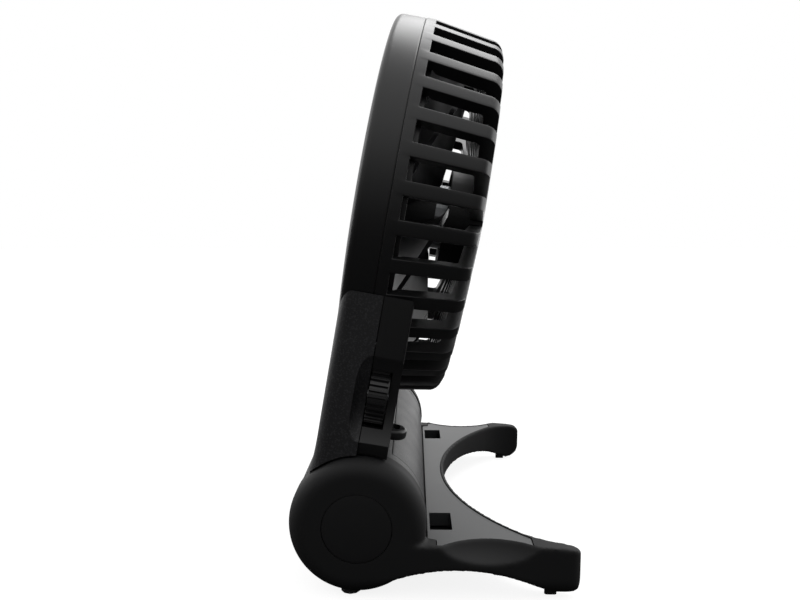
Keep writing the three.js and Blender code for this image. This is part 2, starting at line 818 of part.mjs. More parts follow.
function neckBlock(inset) {
  const top = shoulderHeight + neckOverlap;
  const heights = [flareBottom];
  for (let i = 1; i <= 6; i += 1) heights.push(flareBottom + (flareTop - flareBottom) * i / 6);
  heights.push(top);
  return toSolid(loft(heights.map((z) => neckSection(z, inset))));
}

function headRoom(radius) {
  return turnX(disc(2 * headFront, 2 * cageRear, radius), cradleSegments, 0, headHeight);
}

function cheekRoom() {
  const room = disc(barrelHalfLength + gap, 2 * neckHalfWidth, cheekClear);
  return sides.map(([, side]) => turnY(mirrorAlong(room, side), barrelSegments));
}

// Finger scoop round the thumb wheel, grown by grow for its backing wall.
function scoop(grow) {
  const radius = ((scoopHeight / 2) ** 2 + scoopDepth ** 2) / (2 * scoopDepth);
  const axisY = -(neckHalfWidth - scoopDepth + radius);
  const length = neckSeam - scoopFront + grow;
  const profile = [[neckSeam - length, 0]];
  for (let i = 0; i <= 4; i += 1) {
    const angle = i * 90 / 4 * degree;
    const bulge = (scoopDepth + grow) * Math.sin(angle);
    profile.push([neckSeam - length * Math.cos(angle), radius - scoopDepth + bulge]);
  }
  profile.push([2 * neckRear, radius + grow], [2 * neckRear, 0]);
  return turnX(profile, scoopSegments, axisY, wheelHeight);
}

// A block wider and taller than the body, from one place along X to another.
function halfSpace(fromX, toX) {
  return alongX(rectangle(-headHeight, -headHeight, headHeight, 2 * headHeight), fromX, toX);
}

function neckCavity(floorRadius) {
  const floor = turnY(disc(-neckHalfWidth, neckHalfWidth, floorRadius), barrelSegments);
  return cut(neckBlock(wall), [headRoom(cradleRadius + wall), floor, scoop(wall)]);
}

function screwColumn(y, z, from, to, radius) {
  return turnX(disc(from, to, radius), smallSegments, y, z);
}

function barrelTube() {
  const outside = turnY(disc(-barrelHalfLength, barrelHalfLength, barrelRadius), barrelSegments);
  const room = barrelHalfLength - barrelEndWall;
  const inside = turnY(disc(-room, room, barrelRadius - barrelWall), barrelSegments);
  const boreEnd = barrelHalfLength + overshoot;
  const pinBore = turnY(disc(-boreEnd, boreEnd, pinShankRadius + gap), pinSegments);
  return cut(outside, [inside, pinBore]);
}

// Half rings inside the barrel that carry the cells.
function cellCradles() {
  const ribs = [];
  for (const y of [-0.72, -0.28, 0.28, 0.72]) {
    const middle = y * barrelHalfLength;
    const ring = tube(middle - cradleRibThickness / 2, middle + cradleRibThickness / 2,
      cellRadius + gap, barrelRadius - barrelWall / 2);
    ribs.push(turnY(ring, pinSegments).intersect(halfSpace(-barrelRadius, 0)));
  }
  return ribs;
}

// The battery door's sector, grown by grow, from the barrel's axis outwards.
function doorSector(inner, outer, grow, halfLength) {
  const growAngle = grow / barrelRadius / degree;
  const [from, to] = [doorBottomAngle - growAngle, doorTopAngle + growAngle];
  const shape = polygon([
    ...arcPoints(0, 0, outer, from, to, 14),
    ...arcPoints(0, 0, inner, to, from, 14),
  ]);
  return alongY(shape, -halfLength, halfLength);
}

function makeFrontShell() {
  const seam = neckSeam - gap / 2;
  const neck = neckBlock(0).intersect(halfSpace(-headHeight, seam));
  let shell = cut(neck, cheekRoom()).subtract(neckCavity(barrelRadius));
  const columnFront = wall / 2 - neckFront;
  for (const [y, z] of neckScrews) {
    shell = shell.add(screwColumn(y, z, columnFront, seam, frontColumnRadius));
  }
  shell = cut(shell, [headRoom(cradleRadius), scoop(0)]);
  const coreRadius = barrelRadius - barrelWall / 5;
  const core = turnY(disc(-barrelHalfLength, barrelHalfLength, coreRadius), barrelSegments);
  shell = join([shell.subtract(core), barrelTube(), ...cellCradles()]);
  shell = shell.subtract(doorSector(barrelRadius - barrelWall - overshoot,
    barrelRadius + overshoot, gap, doorHalfLength + gap));
  for (const [y, z] of neckScrews) {
    shell = shell.subtract(screwColumn(y, z, neckSeam - neckScrewReach - gap, seam + overshoot,
      screwRadius + gap));
  }
  return shell;
}

function makeRearFrame() {
  const seam = neckSeam + gap / 2;
  const floorRadius = barrelRadius + gap;
  const floorEnd = barrelHalfLength + gap;
  const floor = turnY(disc(-floorEnd, floorEnd, floorRadius), barrelSegments);
  const cavity = neckCavity(floorRadius + wall);
  let frame = cut(neckBlock(0).intersect(halfSpace(seam, neckRear)), [...cheekRoom(), cavity]);
  for (const [y, z] of neckScrews) {
    frame = frame.add(screwColumn(y, z, seam, neckRear - wall / 2, rearColumnRadius));
  }
  const halfSlot = wheelRadius + slotClearance;
  const slotShape = rectangle(-neckHalfWidth - overshoot, wheelHeight - halfSlot,
    -neckHalfWidth + scoopDepth + wall + overshoot, wheelHeight + halfSlot);
  const slot = alongX(slotShape, seam - overshoot, wheelCentreX + wheelWidth / 2 + slotClearance);
  frame = cut(frame, [headRoom(cradleRadius), scoop(0), floor, slot]);
  for (const [y, z] of neckScrews) {
    frame = cut(frame, [
      screwColumn(y, z, seam - overshoot, neckRear, screwRadius + 2 * gap),
      screwColumn(y, z, neckRear - screwSink - screwHeadHeight - gap, neckRear + overshoot,
        screwHeadRadius + gap),
    ]);
  }
  return join([frame, ...sides.map(([, side]) => latchEye(side))]);
}

// A moulded eye that stands out of the neck's back.
function latchEye(side) {
  const root = neckRear - wall / 2;
  const straight = neckRear + eyeReach / 6;
  const half = eyeWidth / 2;
  const shape = new THREE.Shape();
  shape.moveTo(root, -half);
  shape.lineTo(straight, -half);
  const pull = straight + (neckRear + eyeReach - straight) * 4 / 3;
  shape.bezierCurveTo(pull, -half, pull, half, straight, half);
  shape.lineTo(root, half);
  const hole = new THREE.Path();
  hole.absellipse(neckRear + 0.38 * eyeReach, 0, eyeHoleLength / 2, eyeHoleWidth / 2,
    0, Math.PI * 2, false, 0);
  shape.holes.push(hole);
  const [z0, z1] = [eyeHeight - eyeThickness / 2, eyeHeight + eyeThickness / 2];
  return moved(alongZ(shape, z0, z1, 8), 0, side * eyeCentreY, 0);
}

function makeBatteryDoor() {
  return doorSector(barrelRadius - barrelWall, barrelRadius, 0, doorHalfLength);
}

function makeCell(side) {
  const from = side < 0 ? -cellLength : cellPlay;
  const end = from + cellLength - cellPlay;
  const shoulder = end - cellButtonHeight;
  return turnY([[from, 0], [from, cellRadius - cellEdge], [from + cellEdge, cellRadius],
    [shoulder - cellEdge, cellRadius], [shoulder, cellRadius - cellEdge],
    [shoulder, cellButtonRadius], [end, cellButtonRadius], [end, 0]], pinSegments);
}

function makeContactSpring() {
  const end = barrelHalfLength - barrelEndWall;
  return turnY([[-end + gap, springBoreRadius], [-end + gap, springBaseRadius],
    [-end + 3 * gap, springBaseRadius], [-cellLength - gap, springTipRadius],
    [-cellLength - gap, springBoreRadius]], pinSegments);
}

function makeContactPlate() {
  const end = barrelHalfLength - barrelEndWall;
  return turnY(disc(cellLength + gap, end - gap, contactPlateRadius), pinSegments);
}

function makeBoard() {
  const front = wall - neckFront + gap;
  const outline = [[-boardSide, -boardBelow], [boardLength, -boardBelow],
    [boardLength, -boardLowEnd], ...boardStep, [-boardSide, boardAbove]];
  const shape = polygon(outline.map(([y, z]) => [wheelAxisY + y, wheelHeight + z]));
  return alongX(shape, front, front + boardThickness);
}

function makeSpeedControl() {
  const from = wall - neckFront + boardThickness + 2 * gap;
  const half = controlSize / 2;
  const block = alongX(rectangle(wheelAxisY - half, wheelHeight - half,
    wheelAxisY + half, wheelHeight + half), from, from + controlThickness);
  const bore = turnX(disc(from - overshoot, from + controlThickness + overshoot, wheelBore),
    smallSegments, wheelAxisY, wheelHeight);
  return block.subtract(bore);
}

function makeSpeedWheel() {
  const half = wheelWidth / 2;
  const points = [];
  for (let i = 0; i < wheelRibCount; i += 1) {
    const pitch = 360 / wheelRibCount;
    const valley = wheelRadius - wheelRibDepth;
    const radii = [wheelRadius, wheelRadius, valley, valley];
    radii.forEach((radius, k) => {
      const angle = (i + [0.12, 0.5, 0.6, 1.02][k]) * pitch * degree;
      points.push([wheelAxisY + radius * Math.cos(angle),
        wheelHeight + radius * Math.sin(angle)]);
    });
  }
  const [front, rear] = [wheelCentreX - half, wheelCentreX + half];
  const ribbed = alongX(polygon(points), front, rear - wheelFlange / 2);
  const flange = turnX([[rear - wheelFlange, 0], [rear - wheelFlange, wheelRadius],
    [rear - wheelFlangeEdge, wheelRadius], [rear, wheelRadius - wheelFlangeEdge],
    [rear, 0]], roundSegments, wheelAxisY, wheelHeight);
  const bore = turnX(disc(front - overshoot, rear + overshoot, wheelBore),
    smallSegments, wheelAxisY, wheelHeight);
  return ribbed.add(flange).subtract(bore);
}

function makeWheelPin() {
  const from = wall - neckFront + boardThickness + 3 * gap;
  return turnX(disc(from, neckRear - wall - gap, wheelPinRadius), smallSegments,
    wheelAxisY, wheelHeight);
}

function makeNeckScrew(y, z) {
  const headEnd = neckRear - screwSink;
  const headBase = headEnd - screwHeadHeight;
  const tip = neckSeam - neckScrewReach;
  return turnX([[tip, 0], [tip, screwRadius], [headBase, screwRadius],
    [headBase, screwHeadRadius], [headEnd, screwHeadRadius], [headEnd, 0]],
  screwSegments, y, z);
}

// ---------------------------------------------------------------- fan head

function turnHead(profile, segments = ringSegments) {
  return turnX(profile, segments, 0, headHeight);
}

// A ring of the cage, with its facets turned so that each bar stands in the middle of one.
function turnCage(profile) {
  const geometry = lathe(profile, cageSegments, isRing(profile));
  geometry.rotateY((90 - firstBarAngle + barPitch / 4) * degree);
  geometry.rotateZ(-Math.PI / 2);
  return toSolid(geometry.translate(0, 0, headHeight));
}

function makeFrontRing() {
  const lipRear = headFront + ringLipDepth;
  return turnHead([
    ...arcPoints(headFront + ringEdgeRadius, headRadius - ringEdgeRadius,
      ringEdgeRadius, 180, 90, 3),
    [ringSeam - gap / 2, bandRadius],
    [ringSeam - gap / 2, channelOuter],
    [lipRear - gap, channelOuter],
    [lipRear - gap, channelInner],
    [skirtEnd, channelInner],
    [skirtEnd, skirtRadius],
    [lipRear, skirtRadius],
    [lipRear, ringLipRadius],
    [headFront + ringLipEdge, ringLipRadius],
    [headFront, ringLipRadius + ringLipEdge],
  ]);
}

// One bar of the cage: a fin along the side that rounds the corner and runs to the hub.
// Each station is [outer x, outer radius, outer width, inner x, inner radius, inner width].
function barStations() {
  const cornerX = cageRear - cageCornerRadius;
  const cornerR = cageRearRadius - cageCornerRadius;
  const innerRadius = cageRearRadius - barDepth + 0.8;
  const innerRear = cageRear - barDepth;
  const clearOfSkirt = channelInner + gap + 0.5;
  const outerStart = headRadius - 0.4;
  const outerAt = (x) => outerStart
    - (outerStart - cageRearRadius) * (x - ringSeam) / (cornerX - ringSeam);
  const stations = [];
  for (const x of [slotFront - 0.4, skirtEnd + gap]) {
    stations.push([x, outerAt(x), barOuterWidth, x, clearOfSkirt, barRootWidth]);
  }
  for (let i = 0; i <= 2; i += 1) {
    const angle = i * 45 * degree;
    const inner = barCornerInner;
    stations.push([
      cornerX + cageCornerRadius * Math.sin(angle),
      cornerR + cageCornerRadius * Math.cos(angle),
      barOuterWidth - 0.2 * i,
      innerRear - inner + inner * Math.sin(angle),
      innerRadius - inner + inner * Math.cos(angle),
      barInnerWidth,
    ]);
  }
  const hubJoin = cageHubRadius - 1;
  stations.push([cageHubRear - gap, hubJoin, ribHubWidth,
    cageHubRear - barDepth + gap, hubJoin, ribHubWidth - gap]);
  return stations;
}

function makeBar(angle) {
  const rings = barStations().map(([x, radius, width, innerX, innerRadius, innerWidth]) => [
    new THREE.Vector3(x, -radius, -width / 2),
    new THREE.Vector3(x, -radius, width / 2),
    new THREE.Vector3(innerX, -innerRadius, innerWidth / 2),
    new THREE.Vector3(innerX, -innerRadius, -innerWidth / 2),
  ]);
  const geometry = loft(rings);
  geometry.rotateX(-angle * degree);
  return toSolid(geometry.translate(0, 0, headHeight));
}

function makeRearCage() {
  const collarOuter = channelOuter - gap;
  const collarInner = channelInner + gap;
  const band = turnCage([
    [ringSeam - collarLength, collarInner],
    [ringSeam - collarLength, collarOuter],
    [ringSeam + gap / 2, collarOuter],
    [ringSeam + gap / 2, bandRadius],
    [slotFront, bandRadius - bandSink],
    [slotFront, collarInner],
  ]);
  const bars = [];
  for (let i = 0; i < barCount; i += 1) bars.push(makeBar(firstBarAngle - i * barPitch));
  const discFront = cageHubRear - cageHubThickness;
  const socketInner = motorRadius + gap;
  const hub = turnHead([
    [discFront, 0],
    [discFront, socketInner],
    [discFront - socketDepth, socketInner],
    [discFront - socketDepth, socketInner + socketWall],
    [discFront, socketInner + socketWall],
    [discFront, cageHubRadius - cageHubWall],
    [cageHubRear - cageHubDepth, cageHubRadius - cageHubWall],
    [cageHubRear - cageHubDepth, cageHubRadius],
    [cageHubRear, cageHubRadius],
    [cageHubRear, 0],
  ], roundSegments);
  return join([band, hub, ...bars]);
}

function makeFrontGrille() {
  const front = grilleRear - grilleDepth;
  const rimOuter = skirtRadius - gap;
  const rim = turnHead(tube(front, grilleRear, rimOuter - grilleRimWidth, rimOuter));
  const hub = turnHead([[front, 0], [front, grilleHubRadius - grilleHubEdge],
    [front + grilleHubEdge / 2, grilleHubRadius], [grilleRear, grilleHubRadius],
    [grilleRear, 0]], roundSegments);
  const bars = [];
  for (let i = 0; i < grilleBarCount; i += 1) {
    const [r0, r1] = [grilleHubRadius - 0.6, rimOuter - grilleRimWidth / 2];
    const shape = rectangle(-r1, -grilleBarWidth / 2, -r0, grilleBarWidth / 2);
    const geometry = toGeometry(alongX(shape, front + 0.4, grilleRear - 0.2));
    geometry.rotateX(-(i + 0.5) * 360 / grilleBarCount * degree);
    bars.push(toSolid(geometry.translate(0, 0, headHeight)));
  }
  return join([rim, hub, ...bars]);
}

function mix(a, b, t) {
  return a + (b - a) * t;
}

// A blade's section at a radius: a thin cambered strip wound round the axis, leaning so that its
// rear edge leads.
function bladeSection(radius, steps) {
  const t = (radius - bladeRootRadius) / (bladeTipRadius - bladeRootRadius);
  const span = mix(bladeRootSpan, bladeTipSpan, t);
  const front = mix(bladeFront - 1, bladeFront, t) + bladeTipCorner * t ** 6;
  const rear = mix(rotorHubRear - 1, bladeRear, Math.sin(t * Math.PI / 2));
  const half = bladeThickness / 2;
  const [upper, lower] = [[], []];
  for (let i = 0; i <= steps; i += 1) {
    const s = i / steps;
    const angle = (s * span) * degree;
    const x = mix(front, rear, s) + bladeCamber * Math.sin(s * Math.PI);
    const thin = Math.max(0.35, Math.sin(s * Math.PI)) * half;
    const y = -radius * Math.cos(angle);
    const z = radius * Math.sin(angle);
    upper.push(new THREE.Vector3(x + thin, y, z));
    lower.push(new THREE.Vector3(x - thin, y, z));
  }
  return [...upper, ...lower.reverse()];
}

function makeRotor() {
  const bladeRadii = [0, 0.55, 0.88, 1].map((t) => mix(bladeRootRadius, bladeTipRadius, t));
  const bossFront = motorFront - motorBossLength - overshoot;
  const solids = [turnHead([
    [rotorHubFront, 0],
    [rotorHubFront, rotorHubRadius - rotorHubEdge],
    [rotorHubFront + rotorHubEdge, rotorHubRadius],
    [rotorHubRear, rotorHubRadius],
    [rotorHubRear, rotorHubRadius - rotorHubWall],
    [rotorHubFront + rotorHubWall, rotorHubRadius - rotorHubWall],
    [rotorHubFront + rotorHubWall, motorBossRadius],
    [bossFront, motorBossRadius],
    [bossFront, shaftRadius + gap],
    [rotorHubFront + rotorHubWall, shaftRadius + gap],
    [rotorHubFront + rotorHubWall, 0],
  ], 3 * bladeCount)];
  for (let i = 0; i < bladeCount; i += 1) {
    const geometry = loft(bladeRadii.map((radius) => bladeSection(radius, 4)));
    geometry.rotateX(-(bladePhase + i * 360 / bladeCount) * degree);
    solids.push(toSolid(geometry.translate(0, 0, headHeight)));
  }
  return join(solids);
}

function makeMotor() {
  const rear = motorRear - motorCapThickness - gap;
  const bore = shaftRadius + gap;
  const bossFront = motorFront - motorBossLength;
  return turnHead([[bossFront, bore], [bossFront, motorBossRadius],
    [motorFront, motorBossRadius], [motorFront, motorRadius - motorEdge],
    [motorFront + motorEdge, motorRadius], [rear, motorRadius], [rear, bore]], roundSegments);
}

function makeMotorCap() {
  const from = motorRear - motorCapThickness;
  return turnHead(disc(from, motorRear, motorRadius - motorCapInset), roundSegments);
}

function makeMotorShaft() {
  const from = rotorHubFront + rotorHubWall + gap;
  const end = motorRear - motorCapThickness - 2 * gap;
  return turnHead(disc(from, end, shaftRadius), smallSegments);
}

function makeBody() {
  place(body, 'front_shell', makeFrontShell(), grainedBlack);
  place(body, 'rear_frame', makeRearFrame(), satinBlack);
  place(body, 'battery_door', makeBatteryDoor(), grainedBlack);
  for (const [name, side] of sides) place(body, `battery_cell_${name}`, makeCell(side), cellSleeve);
  place(body, 'contact_spring', makeContactSpring(), steel);
  place(body, 'contact_plate', makeContactPlate(), brassTone);
  place(body, 'circuit_board', makeBoard(), boardGreen);
  place(body, 'speed_control', makeSpeedControl(), satinBlack);
  place(body, 'speed_wheel', makeSpeedWheel(), satinBlack);
  place(body, 'wheel_pin', makeWheelPin(), steel);
  neckScrews.forEach(([y, z], i) => {
    place(body, `neck_screw_${i + 1}`, makeNeckScrew(y, z), steel);
  });
  place(body, 'front_ring', makeFrontRing(), satinBlack);
  place(body, 'front_grille', makeFrontGrille(), satinBlack);
  place(body, 'rear_cage', makeRearCage(), satinBlack);
  place(body, 'fan_rotor', makeRotor(), bladeBlack);
  place(body, 'motor', makeMotor(), steel);
  place(body, 'motor_cap', makeMotorCap(), satinBlack);
  place(body, 'motor_shaft', makeMotorShaft(), steel);
}

makeStand();
makeBody();
body.rotation.y = bodyTilt * degree;
fan.add(stand, body);
fan.position.set(hingeX, 0, groundClearance);

export default fan;
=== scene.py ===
import json
import math

import bmesh
import bpy
from mathutils import Matrix, Vector


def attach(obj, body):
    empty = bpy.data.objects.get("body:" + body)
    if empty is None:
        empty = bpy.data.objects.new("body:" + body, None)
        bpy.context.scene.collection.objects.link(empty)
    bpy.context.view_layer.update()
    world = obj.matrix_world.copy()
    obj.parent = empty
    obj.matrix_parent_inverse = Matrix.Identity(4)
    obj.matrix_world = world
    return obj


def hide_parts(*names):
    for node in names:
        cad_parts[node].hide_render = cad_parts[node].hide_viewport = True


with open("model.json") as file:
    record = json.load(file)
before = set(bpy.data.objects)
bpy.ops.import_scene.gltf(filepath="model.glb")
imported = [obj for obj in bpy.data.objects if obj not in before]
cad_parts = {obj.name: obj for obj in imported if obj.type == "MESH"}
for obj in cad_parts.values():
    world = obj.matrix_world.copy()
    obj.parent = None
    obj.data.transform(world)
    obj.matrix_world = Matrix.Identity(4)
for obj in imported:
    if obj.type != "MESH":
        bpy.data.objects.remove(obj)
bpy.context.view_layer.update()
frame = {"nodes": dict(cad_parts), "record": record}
nodes = frame["nodes"]

# Millimetres throughout, turned to metres by mm(). The stand is drawn about the hinge axis, which
# runs along Y. The body is drawn upright about the same axis and then leans back.
assembly = {
    "hingeX": -27.3,
    "hingeZ": 25.3,
    "lean": 10.0,
    "headHeight": 113.4,
    "seamGap": 0.3,
    "ringGap": 0.08,
}


def mm(value):
    return value * 0.001


def spot(x, y, z):
    return Vector((mm(x), mm(y), mm(z)))


def linear(hexColour):
    channels = [int(hexColour[i:i + 2], 16) / 255 for i in (1, 3, 5)]
    return [c / 12.92 if c <= 0.04045 else ((c + 0.055) / 1.055) ** 2.4 for c in channels] + [1.0]


def addNode(tree, kind, settings=None, links=None):
    node = tree.nodes.new(kind)
    for name, value in (settings or {}).items():
        if name in node.inputs:
            node.inputs[name].default_value = value
        else:
            setattr(node, name, value)
    for name, source in (links or {}).items():
        tree.links.new(source, node.inputs[name])
    return node


def startMaterial(name):
    material = bpy.data.materials.new(name)
    material.use_nodes = True
    tree = material.node_tree
    tree.nodes.clear()
    return material, tree


# Blends two colours, each a hex value or a socket, by the share of the second.
def addBlend(tree, share, first, second):
    blend = addNode(tree, "ShaderNodeMix", {"data_type": "RGBA"})
    tree.links.new(share, blend.inputs[0])
    for socket, colour in ((blend.inputs[6], first), (blend.inputs[7], second)):
        if isinstance(colour, str):
            socket.default_value = linear(colour)
        else:
            tree.links.new(colour, socket)
    return blend.outputs[2]


# Moulded plastic: a base tone that drifts a little, a fine surface texture from the mould's
# sparked or polished steel, and a gloss that varies slowly where hands have rubbed it.
def mouldedPlastic(name, look):
    material, tree = startMaterial(name)
    place = addNode(tree, "ShaderNodeTexCoord").outputs["Object"]
    drift = addNode(tree, "ShaderNodeTexNoise", {"Scale": 1000 / look["driftSize"], "Detail": 3.0},
                    {"Vector": place})
    grain = addNode(tree, "ShaderNodeTexNoise",
                    {"Scale": 1000 / look["grainSize"], "Detail": 2.0, "Roughness": 0.6},
                    {"Vector": place})
    colour = addBlend(tree, drift.outputs["Fac"], look["darkTone"], look["lightTone"])
    # Lighter specks painted into the colour are painted glints, standing for the sparkle of light
    # off a grained face.
    if "paintedGlintTone" in look:
        paintedGlints = addNode(tree, "ShaderNodeTexNoise",
                         {"Scale": 1000 / look["glintSize"], "Detail": 1.0}, {"Vector": place})
        picked = addNode(tree, "ShaderNodeMapRange",
                         {"From Min": look["glintFrom"], "From Max": look["glintFull"]},
                         {"Value": paintedGlints.outputs["Fac"]})
        colour = addBlend(tree, picked.outputs["Result"], colour, look["paintedGlintTone"])
    gloss = addNode(tree, "ShaderNodeMapRange",
                    {"To Min": look["roughness"] - look["roughnessDrift"],
                     "To Max": look["roughness"] + look["roughnessDrift"]},
                    {"Value": drift.outputs["Fac"]})
    bump = addNode(tree, "ShaderNodeBump",
                   {"Strength": look["grainStrength"], "Distance": mm(look["grainDepth"])},
                   {"Height": grain.outputs["Fac"]})
    surface = addNode(tree, "ShaderNodeBsdfPrincipled", {"IOR": look["ior"]},
                      {"Base Color": colour, "Roughness": gloss.outputs["Result"],
                       "Normal": bump.outputs["Normal"]})
    addNode(tree, "ShaderNodeOutputMaterial", links={"Surface": surface.outputs["BSDF"]})
    return material


# Metal with fine scratches, drawn out along an axis where stretch says so.
def workedMetal(name, look):
    material, tree = startMaterial(name)
    place = addNode(tree, "ShaderNodeTexCoord").outputs["Object"]
    along = addNode(tree, "ShaderNodeMapping", {"Scale": look["stretch"]}, {"Vector": place})
    scratches = addNode(tree, "ShaderNodeTexNoise",
                        {"Scale": 1000 / look["scratchSize"], "Detail": 4.0},
                        {"Vector": along.outputs["Vector"]})
    gloss = addNode(tree, "ShaderNodeMapRange",
                    {"To Min": look["roughness"] - look["glossier"],
                     "To Max": look["roughness"] + look["duller"]},
                    {"Value": scratches.outputs["Fac"]})
    colour = addBlend(tree, scratches.outputs["Fac"], look["darkTone"], look["lightTone"])
    bump = addNode(tree, "ShaderNodeBump",
                   {"Strength": look["scratchStrength"], "Distance": mm(look["scratchDepth"])},
                   {"Height": scratches.outputs["Fac"]})
    surface = addNode(tree, "ShaderNodeBsdfPrincipled", {"Metallic": 1.0},
                      {"Base Color": colour, "Roughness": gloss.outputs["Result"],
                       "Normal": bump.outputs["Normal"]})
    addNode(tree, "ShaderNodeOutputMaterial", links={"Surface": surface.outputs["BSDF"]})
    return material


# Satin ABS of the ring, cage, rear frame and grille: an even, softly shining black.
satinAbs = mouldedPlastic("satinMouldedAbs", {
    "darkTone": "#141415", "lightTone": "#19191a", "driftSize": 40, "grainSize": 0.5,
    "grainStrength": 0.12, "grainDepth": 0.02, "roughness": 0.36, "roughnessDrift": 0.03,
    "ior": 1.5})

# Spark-textured ABS of the front shell and battery door: fine grain, with lighter specks painted
# in as the glints of light off the grain.
grainedAbs = mouldedPlastic("sparkTexturedAbs", {
    "darkTone": "#18181a", "lightTone": "#222224", "driftSize": 9, "grainSize": 0.55,
    "grainStrength": 0.5, "grainDepth": 0.08, "roughness": 0.5, "roughnessDrift": 0.08,
    "paintedGlintTone": "#303032", "glintSize": 0.6, "glintFrom": 0.55, "glintFull": 0.61,
    "ior": 1.5})

# Soft-touch lacquer over the moulded stand: broad dull highlights.
softTouch = mouldedPlastic("softTouchLacquer", {
    "darkTone": "#121213", "lightTone": "#161617", "driftSize": 30, "grainSize": 0.35,
    "grainStrength": 0.15, "grainDepth": 0.02, "roughness": 0.66, "roughnessDrift": 0.04,
    "ior": 1.4})

# Satin grey ABS of the plate let into the stand.
plateAbs = mouldedPlastic("satinGreyAbs", {
    "darkTone": "#303132", "lightTone": "#363738", "driftSize": 25, "grainSize": 0.4,
    "grainStrength": 0.1, "grainDepth": 0.02, "roughness": 0.36, "roughnessDrift": 0.03,
    "ior": 1.5})

# Polished ABS of the blades: glossier than the housing, so that their faces catch light.
bladeAbs = mouldedPlastic("polishedBladeAbs", {
    "darkTone": "#1a1a1c", "lightTone": "#202022", "driftSize": 35, "grainSize": 0.8,
    "grainStrength": 0.05, "grainDepth": 0.01, "roughness": 0.28, "roughnessDrift": 0.03,
    "ior": 1.5})

# Moulded rubber of the feet and hinge washers: dull with a soft bloom.
footRubber = mouldedPlastic("mouldedRubber", {
    "darkTone": "#0e0e0e", "lightTone": "#151515", "driftSize": 5, "grainSize": 0.3,
    "grainStrength": 0.4, "grainDepth": 0.03, "roughness": 0.8, "roughnessDrift": 0.06,
    "ior": 1.5})

# Solder mask over glass-fibre board: glossy green.
boardMask = mouldedPlastic("solderMask", {
    "darkTone": "#16402a", "lightTone": "#1f5236", "driftSize": 4, "grainSize": 0.4,
    "grainStrength": 0.1, "grainDepth": 0.01, "roughness": 0.35, "roughnessDrift": 0.05,
    "ior": 1.5})

# Shrink sleeve round a steel cell: smooth grey film.
cellSleeve = mouldedPlastic("shrinkSleeve", {
    "darkTone": "#42474e", "lightTone": "#50555c", "driftSize": 18, "grainSize": 1.5,
    "grainStrength": 0.1, "grainDepth": 0.02, "roughness": 0.3, "roughnessDrift": 0.05,
    "ior": 1.52})

# Zinc-plated steel of screws, pins and the motor's drawn can.
zincSteel = workedMetal("zincPlatedSteel", {
    "darkTone": "#8d9092", "lightTone": "#b9bbbd", "scratchSize": 0.5, "stretch": (1, 1, 1),
    "roughness": 0.36, "glossier": 0.1, "duller": 0.12, "scratchStrength": 0.25,
    "scratchDepth": 0.02})

# Brass of the contact plate, stamped from strip.
stripBrass = workedMetal("stampedBrass", {
    "darkTone": "#9c7a3a", "lightTone": "#c7a35c", "scratchSize": 0.4, "stretch": (1, 1, 8),
    "roughness": 0.34, "glossier": 0.1, "duller": 0.12, "scratchStrength": 0.25,
    "scratchDepth": 0.02})

slotMaterials = {
    "stand_plastic": softTouch, "plate_plastic": plateAbs, "shell_plastic": grainedAbs,
    "cage_plastic": satinAbs, "blade_plastic": bladeAbs, "foot_rubber": footRubber,
    "steel": zincSteel, "contact_brass": stripBrass, "board": boardMask,
    "cell_sleeve": cellSleeve}

for subpart in frame["record"]["subparts"]:
    carried = nodes[subpart["node"]].data
    carried.materials.clear()
    carried.materials.append(slotMaterials[subpart["material_slot"]])
print("materials ready")


# Millimetres within which a place counts as on a plane, and within which corners are merged.
closeness = 0.02
mergeDistance = 0.002


def leaveEdit():
    if bpy.context.mode != "OBJECT":
        bpy.ops.object.mode_set(mode="OBJECT")


def pick(*objects):
    leaveEdit()
    bpy.ops.object.select_all(action="DESELECT")
    for thing in objects:
        thing.select_set(True)
    bpy.context.view_layer.objects.active = objects[0]


# Draws a line from point to point by extruding one vertex, and fills it. Leaves it selected in
# edit mode.
def drawOutline(points, filled=True):
    leaveEdit()
    bpy.ops.object.select_all(action="DESELECT")
    bpy.ops.mesh.primitive_plane_add(size=mm(1))
    piece = bpy.context.object
    bpy.ops.object.mode_set(mode="EDIT")
    bpy.ops.mesh.select_mode(type="VERT")
    bpy.ops.mesh.select_all(action="SELECT")
    bpy.ops.mesh.merge(type="CENTER")
    spots = [spot(*point) for point in points]
    bpy.ops.transform.translate(value=spots[0])
    for here, there in zip(spots, spots[1:]):
        bpy.ops.mesh.extrude_region_move(TRANSFORM_OT_translate={"value": there - here})
    bpy.ops.mesh.select_all(action="SELECT")
    if filled:
        bpy.ops.mesh.edge_face_add()
    return piece


def closeUp(piece):
    bpy.ops.mesh.select_all(action="SELECT")
    bpy.ops.mesh.remove_doubles(threshold=mm(mergeDistance))
    bpy.ops.mesh.normals_make_consistent(inside=False)
    leaveEdit()
    return piece


# A flat outline pulled straight along a vector.
def pullOutline(points, along):
    piece = drawOutline(points)
    bpy.ops.mesh.extrude_region_move(TRANSFORM_OT_translate={"value": spot(*along)})
    return closeUp(piece)


# A profile of [along the axis, radius] turned about an X or Y axis through centre. A profile that
# starts and ends on the axis makes a solid, any other closes on itself as a ring.
def turnProfile(profile, axis, centre=(0, 0, 0), steps=96):
    cx, cy, cz = centre
    if axis == "X":
        points = [(cx + along, cy, cz + radius) for along, radius in profile]
    else:
        points = [(cx, cy + along, cz + radius) for along, radius in profile]
    ring = min(radius for along, radius in profile) > 1e-6
    piece = drawOutline(points, filled=ring)
    if ring:
        bpy.ops.mesh.delete(type="ONLY_FACE")
        bpy.ops.mesh.select_all(action="SELECT")
    direction = {"X": (1, 0, 0), "Y": (0, 1, 0)}[axis]
    bpy.ops.mesh.spin(steps=steps, angle=math.tau, center=spot(*centre), axis=direction)
    return closeUp(piece)


